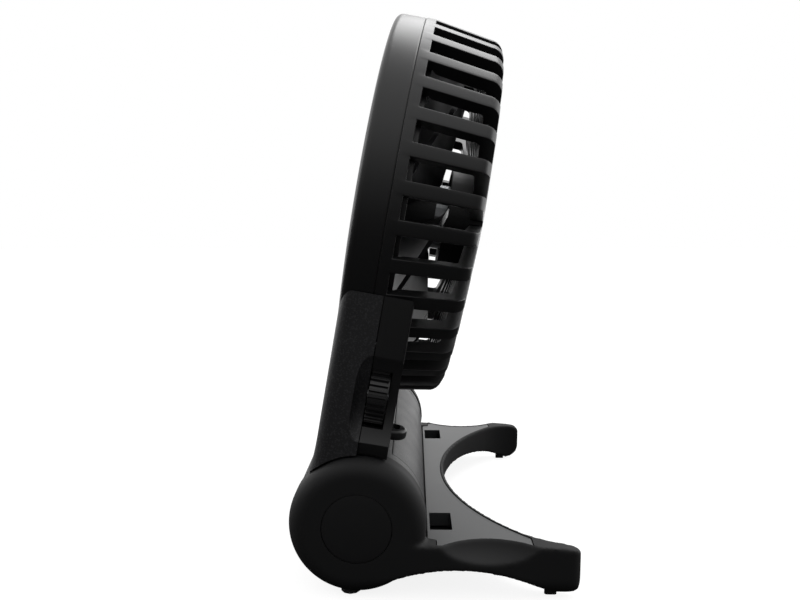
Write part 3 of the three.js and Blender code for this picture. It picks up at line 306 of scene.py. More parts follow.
def block(low, high):
    leaveEdit()
    bpy.ops.object.select_all(action="DESELECT")
    middle = [(a + b) / 2 for a, b in zip(low, high)]
    bpy.ops.mesh.primitive_cube_add(size=1, location=spot(*middle))
    piece = bpy.context.object
    piece.scale = [mm(b - a) for a, b in zip(low, high)]
    bpy.ops.object.transform_apply(location=True, rotation=True, scale=True)
    return piece


def weld(*pieces):
    pick(*pieces)
    bpy.ops.object.join()
    return pieces[0]


def carve(piece, others, operation="DIFFERENCE"):
    for other in others:
        pick(piece)
        tool = piece.modifiers.new("carve", "BOOLEAN")
        tool.operation = operation
        tool.solver = "EXACT"
        tool.object = other
        bpy.ops.object.modifier_apply(modifier=tool.name)
        bpy.data.objects.remove(other)


def roundEdges(piece, width, segments=2, angle=40):
    pick(piece)
    edges = piece.modifiers.new("edges", "BEVEL")
    edges.width = mm(width)
    edges.segments = segments
    edges.limit_method = "ANGLE"
    edges.angle_limit = math.radians(angle)
    bpy.ops.object.modifier_apply(modifier=edges.name)


def selectFaces(piece, test):
    pick(piece)
    bpy.ops.object.mode_set(mode="EDIT")
    bpy.ops.mesh.select_mode(type="FACE")
    bpy.ops.mesh.select_all(action="DESELECT")
    mesh = bmesh.from_edit_mesh(piece.data)
    for face in mesh.faces:
        face.select_set(test(face.calc_center_median() * 1000, face.normal))
    bmesh.update_edit_mesh(piece.data)


def selectEdges(piece, test):
    pick(piece)
    bpy.ops.object.mode_set(mode="EDIT")
    bpy.ops.mesh.select_mode(type="EDGE")
    bpy.ops.mesh.select_all(action="DESELECT")
    mesh = bmesh.from_edit_mesh(piece.data)
    for edge in mesh.edges:
        edge.select_set(test(*(vertex.co * 1000 for vertex in edge.verts)))
    bmesh.update_edit_mesh(piece.data)


# Names a finished piece, gives it its shading, finish and place, and says which node it replaces.
def finishPiece(piece, name, body, slot, node, leaning, smoothAngle=35):
    pick(piece)
    piece.name = name
    piece.data.name = name
    piece.rotation_euler = (0, math.radians(assembly["lean"]) if leaning else 0, 0)
    piece.location = spot(assembly["hingeX"], 0, assembly["hingeZ"])
    bpy.ops.object.transform_apply(location=True, rotation=True, scale=True)
    bpy.ops.object.shade_smooth_by_angle(angle=math.radians(smoothAngle))
    flats = piece.modifiers.new("flats", "WEIGHTED_NORMAL")
    flats.weight = 100
    flats.keep_sharp = True
    bpy.ops.object.modifier_apply(modifier=flats.name)
    piece.data.materials.clear()
    piece.data.materials.append(slotMaterials[slot])
    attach(piece, body)
    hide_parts(node)
    print(name, len(piece.data.polygons), "faces")


def drum(radius, low, high, steps=160):
    return turnProfile([(low, 0), (low, radius), (high, radius), (high, 0)], "Y", steps=steps)


def arc(cu, cv, radius, start, end, steps):
    turns = [math.radians(start + (end - start) * i / steps) for i in range(steps + 1)]
    return [(cu + radius * math.cos(t), cv + radius * math.sin(t)) for t in turns]


# Places along the head's axis and radii about it.
head = {
    "radius": 80.0,
    "front": -20.0,
    "ringSeam": -8.2,
    "ringEdge": 2.8,
    "taperLength": 0.6,
    "taperStart": 0.02,
    "taperEnd": 0.3,
    "lipRadius": 71.5,
    "lipDepth": 2.8,
    "lipEdge": 1.2,
    "skirtInner": 73.5,
    "skirtOuter": 75.5,
    "skirtEnd": -2.2,
    "skirtEdge": 0.2,
    "wallInner": 77.6,
    "wallFront": 0.3,
    "steps": 190,
}
headCentre = (0, 0, assembly["headHeight"])


def makeRing():
    lipRear = head["front"] + head["lipDepth"]
    wallFront = lipRear - head["wallFront"]
    lipEdge, skirtEdge = head["lipEdge"], head["skirtEdge"]
    seam = head["ringSeam"] - assembly["ringGap"] / 2
    edge = arc(head["front"] + head["ringEdge"], head["radius"] - head["ringEdge"],
               head["ringEdge"], 180, 90, 8)
    profile = edge + [
        (seam - head["taperLength"], head["radius"] - head["taperStart"]),
        (seam, head["radius"] - head["taperEnd"]),
        (seam, head["wallInner"]),
        (wallFront, head["wallInner"]),
        (wallFront, head["skirtOuter"]),
        (head["skirtEnd"] - skirtEdge, head["skirtOuter"]),
        (head["skirtEnd"], head["skirtOuter"] - skirtEdge),
        (head["skirtEnd"], head["skirtInner"]),
        (lipRear, head["skirtInner"]),
        (lipRear, head["lipRadius"]),
    ] + arc(head["front"] + lipEdge, head["lipRadius"] + lipEdge, lipEdge, 270, 180, 4)
    ring = turnProfile(profile, "X", headCentre, head["steps"])
    finishPiece(ring, "ring_shell", "body", "cage_plastic", "front_ring", True)


# The cage's band stands proud of the ring by a hair, so that its chamfered edge catches light. The
# bars' inner line and the hub's sleeve and dish are [along the axis, radius].
cage = {
    "bars": 38,
    "firstBar": 60.87,
    "stepsInBar": 4,
    "stepsInPitch": 10,
    "collarLength": 4.0,
    "proud": 0.08,
    "chamfer": 0.35,
    "bandFall": 0.1,
    "slotFront": -3.9,
    "rear": 24.2,
    "rearRadius": 76.2,
    "corner": 5.5,
    "depth": 5.4,
    "innerStart": -1.9,
    "innerLine": [(-0.6, 74.4), (14.4, 71.4)],
    "innerCorner": (16.4, 69.0, 2.4),
    "hubRadius": 22.5,
    "hubRear": 29.2,
    "hubFront": 13.7,
    "hubInner": 20.5,
    "discDepth": 2.5,
    "sleeveRadii": (14.4, 16.6),
    "sleeveLength": 12.0,
    "dishRadii": (19.2, 18.6),
    "dishDepth": 0.6,
    "edge": 0.45,
}


def cagePoint(x, radius, angle):
    turn = math.radians(angle)
    return (x, -radius * math.cos(turn), assembly["headHeight"] + radius * math.sin(turn))


# Copies what is selected in edit mode round the head's axis, to as many in all.
def copyRound(count, axis):
    bpy.ops.mesh.spin(steps=count - 1, dupli=True, use_auto_merge=False,
                      angle=math.tau * (count - 1) / count, center=spot(*headCentre), axis=axis)


# Moves a piece that was drawn about the origin to the head's centre and copies it round.
def repeatRound(piece, count):
    piece.location = spot(*headCentre)
    pick(piece)
    bpy.ops.object.transform_apply(location=True, rotation=True, scale=True)
    bpy.ops.object.mode_set(mode="EDIT")
    bpy.ops.mesh.select_all(action="SELECT")
    copyRound(count, (1, 0, 0))
    leaveEdit()


# A closed profile of [x, radius], turned part of the way round the head's axis.
def turnSector(profile, start, sweep, steps):
    piece = drawOutline([cagePoint(x, radius, start) for x, radius in profile])
    bpy.ops.mesh.spin(steps=steps, angle=math.radians(sweep), center=spot(*headCentre),
                      axis=(-1, 0, 0))
    return closeUp(piece)


def barNumber(place):
    angle = math.degrees(math.atan2(place.z - assembly["headHeight"], -place.y))
    return (cage["firstBar"] - angle) / (360 / cage["bars"])


def makeCage():
    pitch = 360 / cage["bars"]
    barSweep = pitch * cage["stepsInBar"] / cage["stepsInPitch"]
    start = cage["firstBar"] + barSweep / 2
    steps = cage["bars"] * cage["stepsInPitch"]
    collar = (head["skirtOuter"] + assembly["seamGap"], head["wallInner"] - assembly["seamGap"])
    collarFront = head["ringSeam"] - cage["collarLength"]
    seam = head["ringSeam"] + assembly["ringGap"] / 2
    skin = head["radius"] + cage["proud"]
    chamfer = cage["chamfer"]
    slotFront, slotRadius = cage["slotFront"], skin - cage["bandFall"]
    hubRadius, hubRear = cage["hubRadius"], cage["hubRear"]
    ribFront = hubRear - cage["depth"]
    discFront = hubRear - cage["discDepth"]
    band = [
        (collarFront, collar[0]), (collarFront, collar[1]), (seam, collar[1]),
        (seam, skin - chamfer), (seam + chamfer, skin), (slotFront, slotRadius),
        (slotFront, collar[0])]
    bar = [(slotFront, collar[0]), (cage["innerStart"], collar[0])] + cage["innerLine"]
    bar += arc(*cage["innerCorner"], 90, 0, 4)[1:]
    bar += [(ribFront, hubRadius), (hubRear, hubRadius)]
    bar += arc(cage["rear"] - cage["corner"], cage["rearRadius"] - cage["corner"],
               cage["corner"], 0, 90, 6)
    bar += [(slotFront, slotRadius)]
    sleeve, sleeveFront = cage["sleeveRadii"], discFront - cage["sleeveLength"]
    dish, dishFloor = cage["dishRadii"], hubRear - cage["dishDepth"]
    hub = [(discFront, 0), (discFront, sleeve[0]), (sleeveFront, sleeve[0]),
           (sleeveFront, sleeve[1]), (discFront, sleeve[1]), (discFront, cage["hubInner"]),
           (cage["hubFront"], cage["hubInner"]), (cage["hubFront"], hubRadius),
           (ribFront, hubRadius), (hubRear, hubRadius), (hubRear, dish[0]), (dishFloor, dish[1]),
           (dishFloor, 0)]

    def onBand(place):
        return abs(place.x - slotFront) < closeness

    def onHub(place):
        radius = math.hypot(place.y, place.z - assembly["headHeight"])
        return abs(radius - hubRadius) < closeness and place.x > ribFront

    bars = turnSector(bar, start, barSweep, cage["stepsInBar"])
    selectFaces(bars, lambda place, normal: abs(normal.x) > 0.9 and onBand(place)
                or onHub(place))
    bpy.ops.mesh.delete(type="FACE")
    bpy.ops.mesh.select_all(action="SELECT")
    copyRound(cage["bars"], (-1, 0, 0))

    def underBar(place):
        share = barNumber(place) % 1
        return min(share, 1 - share) < barSweep / pitch / 2

    rings = []
    for profile, isJoint in ((band, onBand), (hub, onHub)):
        closed = profile[0][1] > 0
        ring = drawOutline([cagePoint(x, radius, start) for x, radius in profile], filled=closed)
        if closed:
            bpy.ops.mesh.delete(type="ONLY_FACE")
            bpy.ops.mesh.select_all(action="SELECT")
        bpy.ops.mesh.spin(steps=steps, angle=math.tau, center=spot(*headCentre), axis=(-1, 0, 0))
        closeUp(ring)
        selectFaces(ring, lambda place, normal: isJoint(place) and underBar(place))
        bpy.ops.mesh.delete(type="FACE")
        rings.append(ring)
    whole = weld(bars, *rings)
    bpy.ops.object.mode_set(mode="EDIT")
    closeUp(whole)
    roundEdges(whole, cage["edge"], 2, 50)
    finishPiece(whole, "cage_moulding", "body", "cage_plastic", "rear_cage", True)


# The blades are drawn a little too large all round (spare) and trimmed to their envelope.
rotor = {
    "blades": 9,
    "phase": -1.0,
    "rootRadius": 17.5,
    "tipRadius": 70.0,
    "front": -8.0,
    "rear": 12.5,
    "sweep": 42.0,
    "spareSweep": 2.0,
    "spareEdge": 1.0,
    "thickness": 1.5,
    "frontCorner": 9.0,
    "rearCorner": 6.0,
    "envelopeRoot": [(9.5, 24), (7.5, 15)],
    "edge": 0.45,
    "stepsAcross": 14,
    "stepsRound": 26,
    "hubRadius": 20.0,
    "hubFront": -11.0,
    "hubRear": 9.0,
    "hubEdge": 3.0,
    "hubNose": [(-10.6, 0), (-10.6, 6), (-11, 6.6), (-11, 16)],
    "hubWall": 2.0,
    "hubFloor": -9.0,
    "bossRadius": 4.0,
    "bossEnd": 0.6,
    "boreRadius": 1.45,
}


# One blade: an edge from hub to tip, screwed round and along the axis, thickened and trimmed to
# rounded corners, then copied round.
def makeRotor():
    root, across = rotor["rootRadius"], rotor["stepsAcross"]
    span = rotor["tipRadius"] + rotor["spareEdge"] - root
    radii = [root + span * i / across for i in range(across + 1)]
    sweep = rotor["sweep"] + 2 * rotor["spareSweep"]
    rise = (rotor["rear"] - rotor["front"]) / rotor["sweep"] * sweep
    turn = math.radians(rotor["phase"] - rotor["spareSweep"])
    start = rotor["front"] - rotor["spareEdge"]
    blade = drawOutline([(start, -radius * math.cos(turn), radius * math.sin(turn))
                         for radius in radii], filled=False)
    leaveEdit()
    screw = blade.modifiers.new("screw", "SCREW")
    screw.axis = "X"
    screw.angle = -math.radians(sweep)
    screw.screw_offset = mm(rise)
    screw.steps = rotor["stepsRound"]
    screw.render_steps = rotor["stepsRound"]
    skin = blade.modifiers.new("skin", "SOLIDIFY")
    skin.thickness = mm(rotor["thickness"])
    skin.offset = 0
    pick(blade)
    for modifier in ("screw", "skin"):
        bpy.ops.object.modifier_apply(modifier=modifier)
    tip, corner = rotor["tipRadius"], rotor["frontCorner"]
    envelope = [(rotor["front"], rotor["envelopeRoot"][1][1]), (rotor["front"], tip - corner)]
    envelope += arc(rotor["front"] + corner, tip - corner, corner, 180, 90, 8)[1:]
    corner = rotor["rearCorner"]
    envelope += arc(rotor["rear"] - corner, tip - corner, corner, 90, 0, 8)
    envelope += rotor["envelopeRoot"]
    room = turnProfile(envelope, "X", (0, 0, 0), 120)
    carve(blade, [room], "INTERSECT")
    roundEdges(blade, rotor["edge"], 2, 60)
    repeatRound(blade, rotor["blades"])
    outer, edge = rotor["hubRadius"], rotor["hubEdge"]
    inner, floor, rear = outer - rotor["hubWall"], rotor["hubFloor"], rotor["hubRear"]
    boss, bossEnd, bore = rotor["bossRadius"], rotor["bossEnd"], rotor["boreRadius"]
    hub = turnProfile(
        rotor["hubNose"] + arc(rotor["hubFront"] + edge, outer - edge, edge, 180, 90, 6)[1:]
        + [(rear, outer), (rear, inner), (floor, inner), (floor, boss), (bossEnd, boss),
           (bossEnd, bore), (floor, bore), (floor, 0)], "X", headCentre, 72)
    carve(blade, [hub], "UNION")
    finishPiece(blade, "bladed_rotor", "rotor", "blade_plastic", "fan_rotor", True, 30)


grille = {
    "bars": 38,
    "front": -16.9,
    "depth": 3.0,
    "rimOuter": 73.2,
    "rimInner": 70.5,
    "hubRadius": 19.0,
    "hubEdge": 1.2,
    "hubFace": [(0.5, 0), (0.4, 10), (0, 15.5), (0, 17.8)],
    "barWidth": 1.7,
    "barSet": (0.3, 0.2),
    "barOverlap": (0.8, 1.0),
    "barEdge": 0.6,
    "rimEdge": 0.5,
}


def makeGrille():
    front, rear = grille["front"], grille["front"] + grille["depth"]
    frontSet, rearSet = grille["barSet"]
    inHub, inRim = grille["barOverlap"]
    bar = block((front + frontSet, -grille["barWidth"] / 2, grille["hubRadius"] - inHub),
                (rear - rearSet, grille["barWidth"] / 2, grille["rimInner"] + inRim))
    roundEdges(bar, grille["barEdge"], 3)
    repeatRound(bar, grille["bars"])
    edge = grille["rimEdge"]
    rim = turnProfile([(front, grille["rimInner"] + edge), (front, grille["rimOuter"]),
                       (rear, grille["rimOuter"]), (rear, grille["rimInner"]),
                       (front + edge, grille["rimInner"])], "X", headCentre, 152)
    face = [(front + behind, radius) for behind, radius in grille["hubFace"]]
    hub = turnProfile(face + [(front + grille["hubEdge"], grille["hubRadius"]),
                              (rear, grille["hubRadius"]), (rear, 0)], "X", headCentre, 96)
    carve(bar, [rim, hub], "UNION")
    finishPiece(bar, "grille_moulding", "body", "cage_plastic", "front_grille", True)


# Places about the hinge axis. topFall is the prongs' upper line from where it leaves the level to
# the tip, as [x, z].
stand = {
    "cheekRadius": 24.7,
    "cheekInner": 66.2,
    "cheekOuter": 78.0,
    "cheekRoot": 3.0,
    "cheekEdge": 5.8,
    "top": -6.2,
    "topFall": [(73, -6.6), (77.3, -7.3), (79.3, -8.8)],
    "levelEnd": 66.0,
    "reach": 79.3,
    "tipInner": 73.0,
    "tipPull": 11.0,
    "tipSteps": 8,
    "tipCorner": 4.0,
    "lowerEdge": 6.5,
    "span": 90.0,
    "bendY": 66.0,
    "nestX": 129.0,
    "nestRadius": 95.1,
    "barrelRoom": 25.8,
    "archX": 35.65,
    "archTop": -15.2,
    "archRadius": 70.2,
    "archEnd": -23.1,
    "tipBottom": -24.8,
    "tipRadius": 7.0,
    "voxel": 0.62,
    "softness": 9,
    "clayTurn": (0.52, 0.63, 0.41),
}

# The plate's window is [x from, x to, y from, y to], and its recess and the pocket below it are
# set in from the plate's outline at [the sides, the front, the corner, the end].
plate = {
    "thickness": 2.0,
    "sink": 0.3,
    "gap": 0.3,
    "front": 24.9,
    "cornerX": 28.0,
    "cornerY": 76.4,
    "tongue": (6.2, 4.4),
    "endX": 62.5,
    "nestRim": 1.3,
    "dimpleX": 46.6,
    "dimpleY": 96.9,
    "dimpleZ": -4.0,
    "dimpleEdge": 26.39,
    "dimpleSize": (26.2, 26.2, 12.5),
    "edge": 0.25,
    "window": (26.1, 34.4, 48.0, 63.2),
    "windowLip": 0.1,
    "windowWall": 0.8,
    "windowWallTop": -7.0,
    "windowWallFoot": -11.8,
    "recessInsets": (0, -1.2, 0, 0),
    "pocketInsets": (2.0, 1.0, 4.6, 8.0),
    "pocketFloor": -12.9,
}

# Turned cuts in the cheeks, each [y from, y to, radius from, radius to], and the cap in its seat.
hinge = {
    "seat": (70, 80, 0, 12.62),
    "pocket": (65, 73.2, 15, 21.7),
    "bore": (60, 75, 0, 4.8),
    "capBase": 73.1,
    "capRadius": 12.5,
    "capRim": 77.85,
    "capEdge": 0.25,
    "capCrown": [(0.12, 9), (0.3, 4.5), (0.35, 0)],
}


def planOutline():
    bendX = stand["nestX"] - math.sqrt(stand["nestRadius"] ** 2 - stand["bendY"] ** 2)
    bendAngle = math.degrees(math.atan2(stand["bendY"], bendX - stand["nestX"]))
    reach, outer = stand["reach"], stand["cheekOuter"]
    half = [(x, y) for x, y in arc(stand["nestX"], 0, stand["nestRadius"], 180, bendAngle, 24)]
    pull = (reach - stand["tipPull"], stand["tipInner"])
    for i in range(stand["tipSteps"]):
        t = (i + 1) / stand["tipSteps"]
        half.append(tuple((1 - t) ** 2 * a + 2 * t * (1 - t) * b + t * t * c for a, b, c in zip(
            (bendX, stand["bendY"]), pull, (reach, stand["tipInner"]))))
    corner = stand["tipCorner"]
    half += arc(reach - corner, outer - corner, corner, 0, 90, 8)
    half.append((0, outer))
    return half + [(x, -y) for x, y in reversed(half[1:])]


def sideOutline():
    archZ = stand["archTop"] - stand["archRadius"]
    reach = math.sqrt(stand["archRadius"] ** 2 - (stand["archEnd"] - archZ) ** 2)
    angle = math.degrees(math.acos(reach / stand["archRadius"]))
    tip = stand["tipRadius"]
    return ([(0, stand["top"]), (stand["levelEnd"], stand["top"])] + stand["topFall"]
            + arc(stand["reach"] - tip, stand["tipBottom"] + tip, tip, 0, -90, 10)
            + arc(stand["archX"], archZ, stand["archRadius"], angle, 180 - angle, 36)
            + [(0, stand["archEnd"])])


# The prongs seen from their ends, with both lower outer edges rounded.
def endOutline():
    edge, outer = stand["lowerEdge"], stand["cheekOuter"]
    low = arc(outer - edge, stand["tipBottom"] + edge, edge, 0, -90, 8)
    return ([(-outer, 0)] + [(-y, z) for y, z in low] + list(reversed(low)) + [(outer, 0)])


def plateOutline(inset, frontInset, cornerInset, endInset):
    nestEdge = stand["nestRadius"] + plate["nestRim"] + inset
    dimpleEdge = plate["dimpleEdge"] + inset
    endX = plate["endX"] - endInset
    cornerY = plate["cornerY"] - cornerInset
    startX = plate["dimpleX"] - math.sqrt(dimpleEdge ** 2 - (plate["dimpleY"] - cornerY) ** 2)
    startAngle = math.degrees(math.atan2(cornerY - plate["dimpleY"], startX - plate["dimpleX"]))
    endY = math.sqrt(nestEdge ** 2 - (stand["nestX"] - endX) ** 2)
    endOuterY = plate["dimpleY"] - math.sqrt(dimpleEdge ** 2 - (endX - plate["dimpleX"]) ** 2)
    endAngle = math.degrees(math.atan2(endOuterY - plate["dimpleY"], endX - plate["dimpleX"]))
    nestAngle = math.degrees(math.atan2(endY, endX - stand["nestX"]))
    tongueY, notchY = (plate["cornerY"] - back for back in plate["tongue"])
    half = [(plate["front"] + frontInset, tongueY), (plate["cornerX"] + inset, notchY),
            (plate["cornerX"] + inset, cornerY)]
    half += arc(plate["dimpleX"], plate["dimpleY"], dimpleEdge, startAngle, endAngle, 20)
    half += arc(stand["nestX"], 0, nestEdge, nestAngle, 180, 28)
    return half + [(x, -y) for x, y in reversed(half[:-1])]


def slab(outline, low, high):
    return pullOutline([(x, y, low) for x, y in outline], (0, 0, high - low))


def makeStand():
    span = stand["span"]
    arms = slab(planOutline(), -assembly["hingeZ"], stand["top"])
    side = pullOutline([(x, -span, z) for x, z in sideOutline()], (0, 2 * span, 0))
    end = pullOutline([(0, y, z) for y, z in endOutline()], (span, 0, 0))
    carve(arms, [side, end], "INTERSECT")
    for sign in (-1, 1):
        bpy.ops.object.select_all(action="DESELECT")
        bpy.ops.mesh.primitive_uv_sphere_add(
            segments=64, ring_count=32, radius=1,
            location=spot(plate["dimpleX"], sign * plate["dimpleY"], plate["dimpleZ"]))
        dimple = bpy.context.object
        dimple.scale = spot(*plate["dimpleSize"])
        bpy.ops.object.transform_apply(location=True, rotation=True, scale=True)
        carve(arms, [dimple])
    edge, root = stand["cheekEdge"], stand["cheekInner"] - stand["cheekRoot"]
    for sign in (-1, 1):
        profile = [(root, 0), (root, stand["cheekRadius"])]
        profile += arc(stand["cheekOuter"] - edge, stand["cheekRadius"] - edge, edge, 90, 0, 8)
        profile += [(stand["cheekOuter"], 0)]
        cheek = turnProfile([(sign * along, radius) for along, radius in profile], "Y",
                            steps=128)
        carve(arms, [cheek], "UNION")
    # Turned askew for the remesh, so that no edge runs along its grid, and then turned back.
    pick(arms)
    arms.rotation_euler = stand["clayTurn"]
    turnBack = arms.rotation_euler.to_matrix().inverted().to_euler()
    bpy.ops.object.transform_apply(location=False, rotation=True, scale=False)
    clay = arms.modifiers.new("clay", "REMESH")
    clay.mode = "VOXEL"
    clay.voxel_size = mm(stand["voxel"])
    rub = arms.modifiers.new("rub", "SMOOTH")
    rub.factor = 0.5
    rub.iterations = stand["softness"]
    for modifier in ("clay", "rub"):
        bpy.ops.object.modifier_apply(modifier=modifier)
    arms.rotation_euler = turnBack
    bpy.ops.object.transform_apply(location=False, rotation=True, scale=False)
    carve(arms, [drum(stand["barrelRoom"], -stand["cheekInner"], stand["cheekInner"])])
    under = stand["top"] - plate["thickness"] - assembly["seamGap"]
    carve(arms, [slab(plateOutline(*plate["recessInsets"]), under, 0),
                 slab(plateOutline(*plate["pocketInsets"]), plate["pocketFloor"], under + 1)])
    for sign in (-1, 1):
        for cut in ("seat", "pocket", "bore"):
            inner, outer, low, high = hinge[cut]
            corners = [(inner, low), (inner, high), (outer, high), (outer, low)]
            carve(arms, [turnProfile([(sign * y, r) for y, r in corners], "Y", steps=64)])
    finishPiece(arms, "stand_moulding", "stand", "stand_plastic", "stand_frame", False, 40)


def makePlate():
    piece = slab(plateOutline(*[plate["gap"]] * 4), stand["top"] - plate["thickness"],
                 stand["top"] - plate["sink"])
    x0, x1, y0, y1 = plate["window"]
    wall, lip = plate["windowWall"], plate["windowLip"]
    foot, top = plate["windowWallFoot"], plate["windowWallTop"]
    for sign in (-1, 1):
        low, high = sorted((sign * y0, sign * y1))
        carve(piece, [block((x0 - lip, low - wall, foot), (x1 + wall, high + wall, top))], "UNION")
        carve(piece, [block((x0, low, -20), (x1, high, 0))])
    roundEdges(piece, plate["edge"], 2, 50)
    finishPiece(piece, "inlaid_plate", "stand", "plate_plastic", "top_plate", False)


def makeCaps():
    base, rim, radius = hinge["capBase"], hinge["capRim"], hinge["capRadius"]
    edge = hinge["capEdge"]
    profile = [(base, 0), (base, radius), (rim - edge, radius), (rim, radius - edge)]
    profile += [(rim + rise, r) for rise, r in hinge["capCrown"]]
    for name, sign in (("near", -1), ("far", 1)):
        cap = turnProfile([(sign * a, r) for a, r in profile], "Y", steps=96)
        finishPiece(cap, "hinge_cap_" + name, "stand", "stand_plastic", "pivot_cap_" + name,
                    False, 50)


neck = {
    "halfWidth": 74.0,
    "front": -19.6,
    "rear": 6.2,
    "seam": -4.5,
    "corner": 4.0,
    "rearEdge": 0.9,
    "top": 89.4,
    "flareTop": 34.0,
    "flareBottom": 9.0,
    "wall": 2.4,
    "cradle": 80.35,
    "cheekRoom": (65.3, 80.0, 25.3),
    "foot": 10.0,
    "wheelHeight": 45.3,
    "edge": 0.22,
}

barrel = {
    "radius": 24.2,
    "wall": 2.4,
    "halfLength": 65.0,
    "halfInside": 62.0,
    "halfBore": 70.0,
    "boreRadius": 4.8,
    "doorHalf": 59.2,
    "doorAngle": 70.0,
    "doorGap": 0.3,
    "doorEdge": 0.25,
    "clearance": 0.3,
}

# The finger scoop round the wheel: a shallow round hollow whose front end runs out in a curve.
scoop = {"depth": 4.0, "height": 31.5, "length": 4.8, "rear": 14.0, "steps": 12}


def neckFront(z):
    if z >= neck["flareTop"]:
        return neck["front"]
    t = (neck["flareTop"] - z) / (neck["flareTop"] - neck["flareBottom"])
    end = -math.sqrt(barrel["radius"] ** 2 - neck["flareBottom"] ** 2)
    slope = -neck["flareBottom"] / end * (neck["flareBottom"] - neck["flareTop"])
    return (neck["front"] * (2 * t ** 3 - 3 * t ** 2 + 1) + end * (3 * t ** 2 - 2 * t ** 3)
            + slope * (t ** 3 - t ** 2))


def headRoom(radius):
    return turnProfile([(-40, 0), (-40, radius), (40, radius), (40, 0)], "X", headCentre,
                       head["steps"])


def cheekRooms():
    inner, outer, radius = neck["cheekRoom"]
    return [drum(radius, *sorted((sign * inner, sign * outer))) for sign in (-1, 1)]


def scoopTool(grow):
    depth, height = scoop["depth"], scoop["height"]
    radius = ((height / 2) ** 2 + depth ** 2) / (2 * depth)
    length = scoop["length"] + grow
    profile = [(neck["seam"] - length, 0)]
    for i in range(scoop["steps"] + 1):
        turn = math.radians(i * 90 / scoop["steps"])
        profile.append((neck["seam"] - length * math.cos(turn),
                        radius - depth + (depth + grow) * math.sin(turn)))
    profile += [(scoop["rear"], radius + grow), (scoop["rear"], 0)]
    return turnProfile(profile, "X", (0, -(neck["halfWidth"] - depth + radius),
                                      neck["wheelHeight"]), 220)


def neckSlab(fromX, inset):
    heights = [neck["flareBottom"] + (neck["flareTop"] - neck["flareBottom"]) * i / 14
               for i in range(15)]
    front = [(neckFront(z) + inset, z) for z in heights]
    outline = [(fromX, 0), (front[0][0], 0)] + front
    outline += [(neck["front"] + inset, neck["top"]), (fromX, neck["top"])]
    width = neck["halfWidth"] - inset
    return pullOutline([(x, -width, z) for x, z in outline], (0, 2 * width, 0))


def makeFrontShell():
    seam = neck["seam"] - assembly["seamGap"] / 2
    shell = neckSlab(seam, 0)

    def onCorner(p):
        onSide = abs(abs(p.y) - neck["halfWidth"]) < closeness
        return onSide and p.z > 1 and p.x < neckFront(p.z) + closeness

    selectEdges(shell, lambda a, b: onCorner(a) and onCorner(b) and abs(a.z - b.z) > closeness)
    bpy.ops.mesh.bevel(offset=mm(neck["corner"]), segments=8, affect="EDGES")
    leaveEdit()
    carve(shell, cheekRooms())
    carve(shell, [drum(barrel["radius"], -barrel["halfLength"], barrel["halfLength"])], "UNION")
    carve(shell, [headRoom(neck["cradle"]), scoopTool(0)])
    hollow = neckSlab(seam + 1, neck["wall"])
    carve(hollow, [headRoom(neck["cradle"] + neck["wall"]), scoopTool(neck["wall"]),
                   drum(barrel["radius"], -90, 90)])
    innerRadius = barrel["radius"] - barrel["wall"]
    carve(shell, [hollow, drum(innerRadius, -barrel["halfInside"], barrel["halfInside"])])
    carve(shell, [doorSector(barrel["doorGap"], innerRadius - 1, barrel["radius"] + 2),
                  drum(barrel["boreRadius"], -barrel["halfBore"], barrel["halfBore"], 48)])
    roundEdges(shell, neck["edge"], 2, 55)
    finishPiece(shell, "neck_front_shell", "body", "shell_plastic", "front_shell", True, 40)


def doorSector(grow, inner, outer):
    angle = barrel["doorAngle"] + math.degrees(grow / barrel["radius"])
    half = barrel["doorHalf"] + grow
    points = arc(0, 0, outer, -angle, angle, 60) + arc(0, 0, inner, angle, -angle, 60)
    return pullOutline([(x, -half, z) for x, z in points], (0, 2 * half, 0))


def makeDoor():
    door = doorSector(0, barrel["radius"] - barrel["wall"], barrel["radius"])
    roundEdges(door, barrel["doorEdge"], 2, 50)
    finishPiece(door, "snap_off_door", "body", "shell_plastic", "battery_door", True, 40)


latch = {
    "place": 55.6,
    "bottom": 28.2,
    "thickness": 4.0,
    "halfWidth": 5.5,
    "root": 1.5,
    "straight": 0.4,
    "reach": 6.0,
    "edge": 1.3,
    "holeReach": 1.5,
    "holeHalfWidth": 3.0,
}


def latchEye(sign):
    half, root, y = latch["halfWidth"], neck["rear"] - latch["root"], sign * latch["place"]
    centre, reach = neck["rear"] + latch["straight"], latch["reach"] - latch["straight"]
    curve = [(centre + reach * math.cos(t), half * math.sin(t))
             for t in (math.radians(-90 + 180 * i / 16) for i in range(17))]
    outline = [(root, -half)] + curve + [(root, half)]
    eye = pullOutline([(x, y + across, latch["bottom"]) for x, across in outline],
                      (0, 0, latch["thickness"]))
    roundEdges(eye, latch["edge"], 4, 50)
    deep, wide = latch["holeReach"], latch["holeHalfWidth"]
    hole = [(centre + deep + deep * math.cos(t), y + wide * math.sin(t), 20)
            for t in (math.tau * i / 24 for i in range(24))]
    carve(eye, [pullOutline(hole, (0, 0, 20))])
    return eye


# Where the rear frame's sides draw in towards the cheeks: [upper z, lower z, how far]. The slot
# is the wheel's, and a screw's seat is [depth, radius] at each of four places [y, z].
rearFrame = {
    "taper": (30.1, 20.0, 3.2),
    "slotHalf": 10.4,
    "slotRear": 3.0,
    "slotDepth": 7.4,
    "screwSeat": (2.6, 3.0),
    "screws": [(-68.3, 64), (68.3, 64), (-30, 30.3), (30, 30.3)],
}


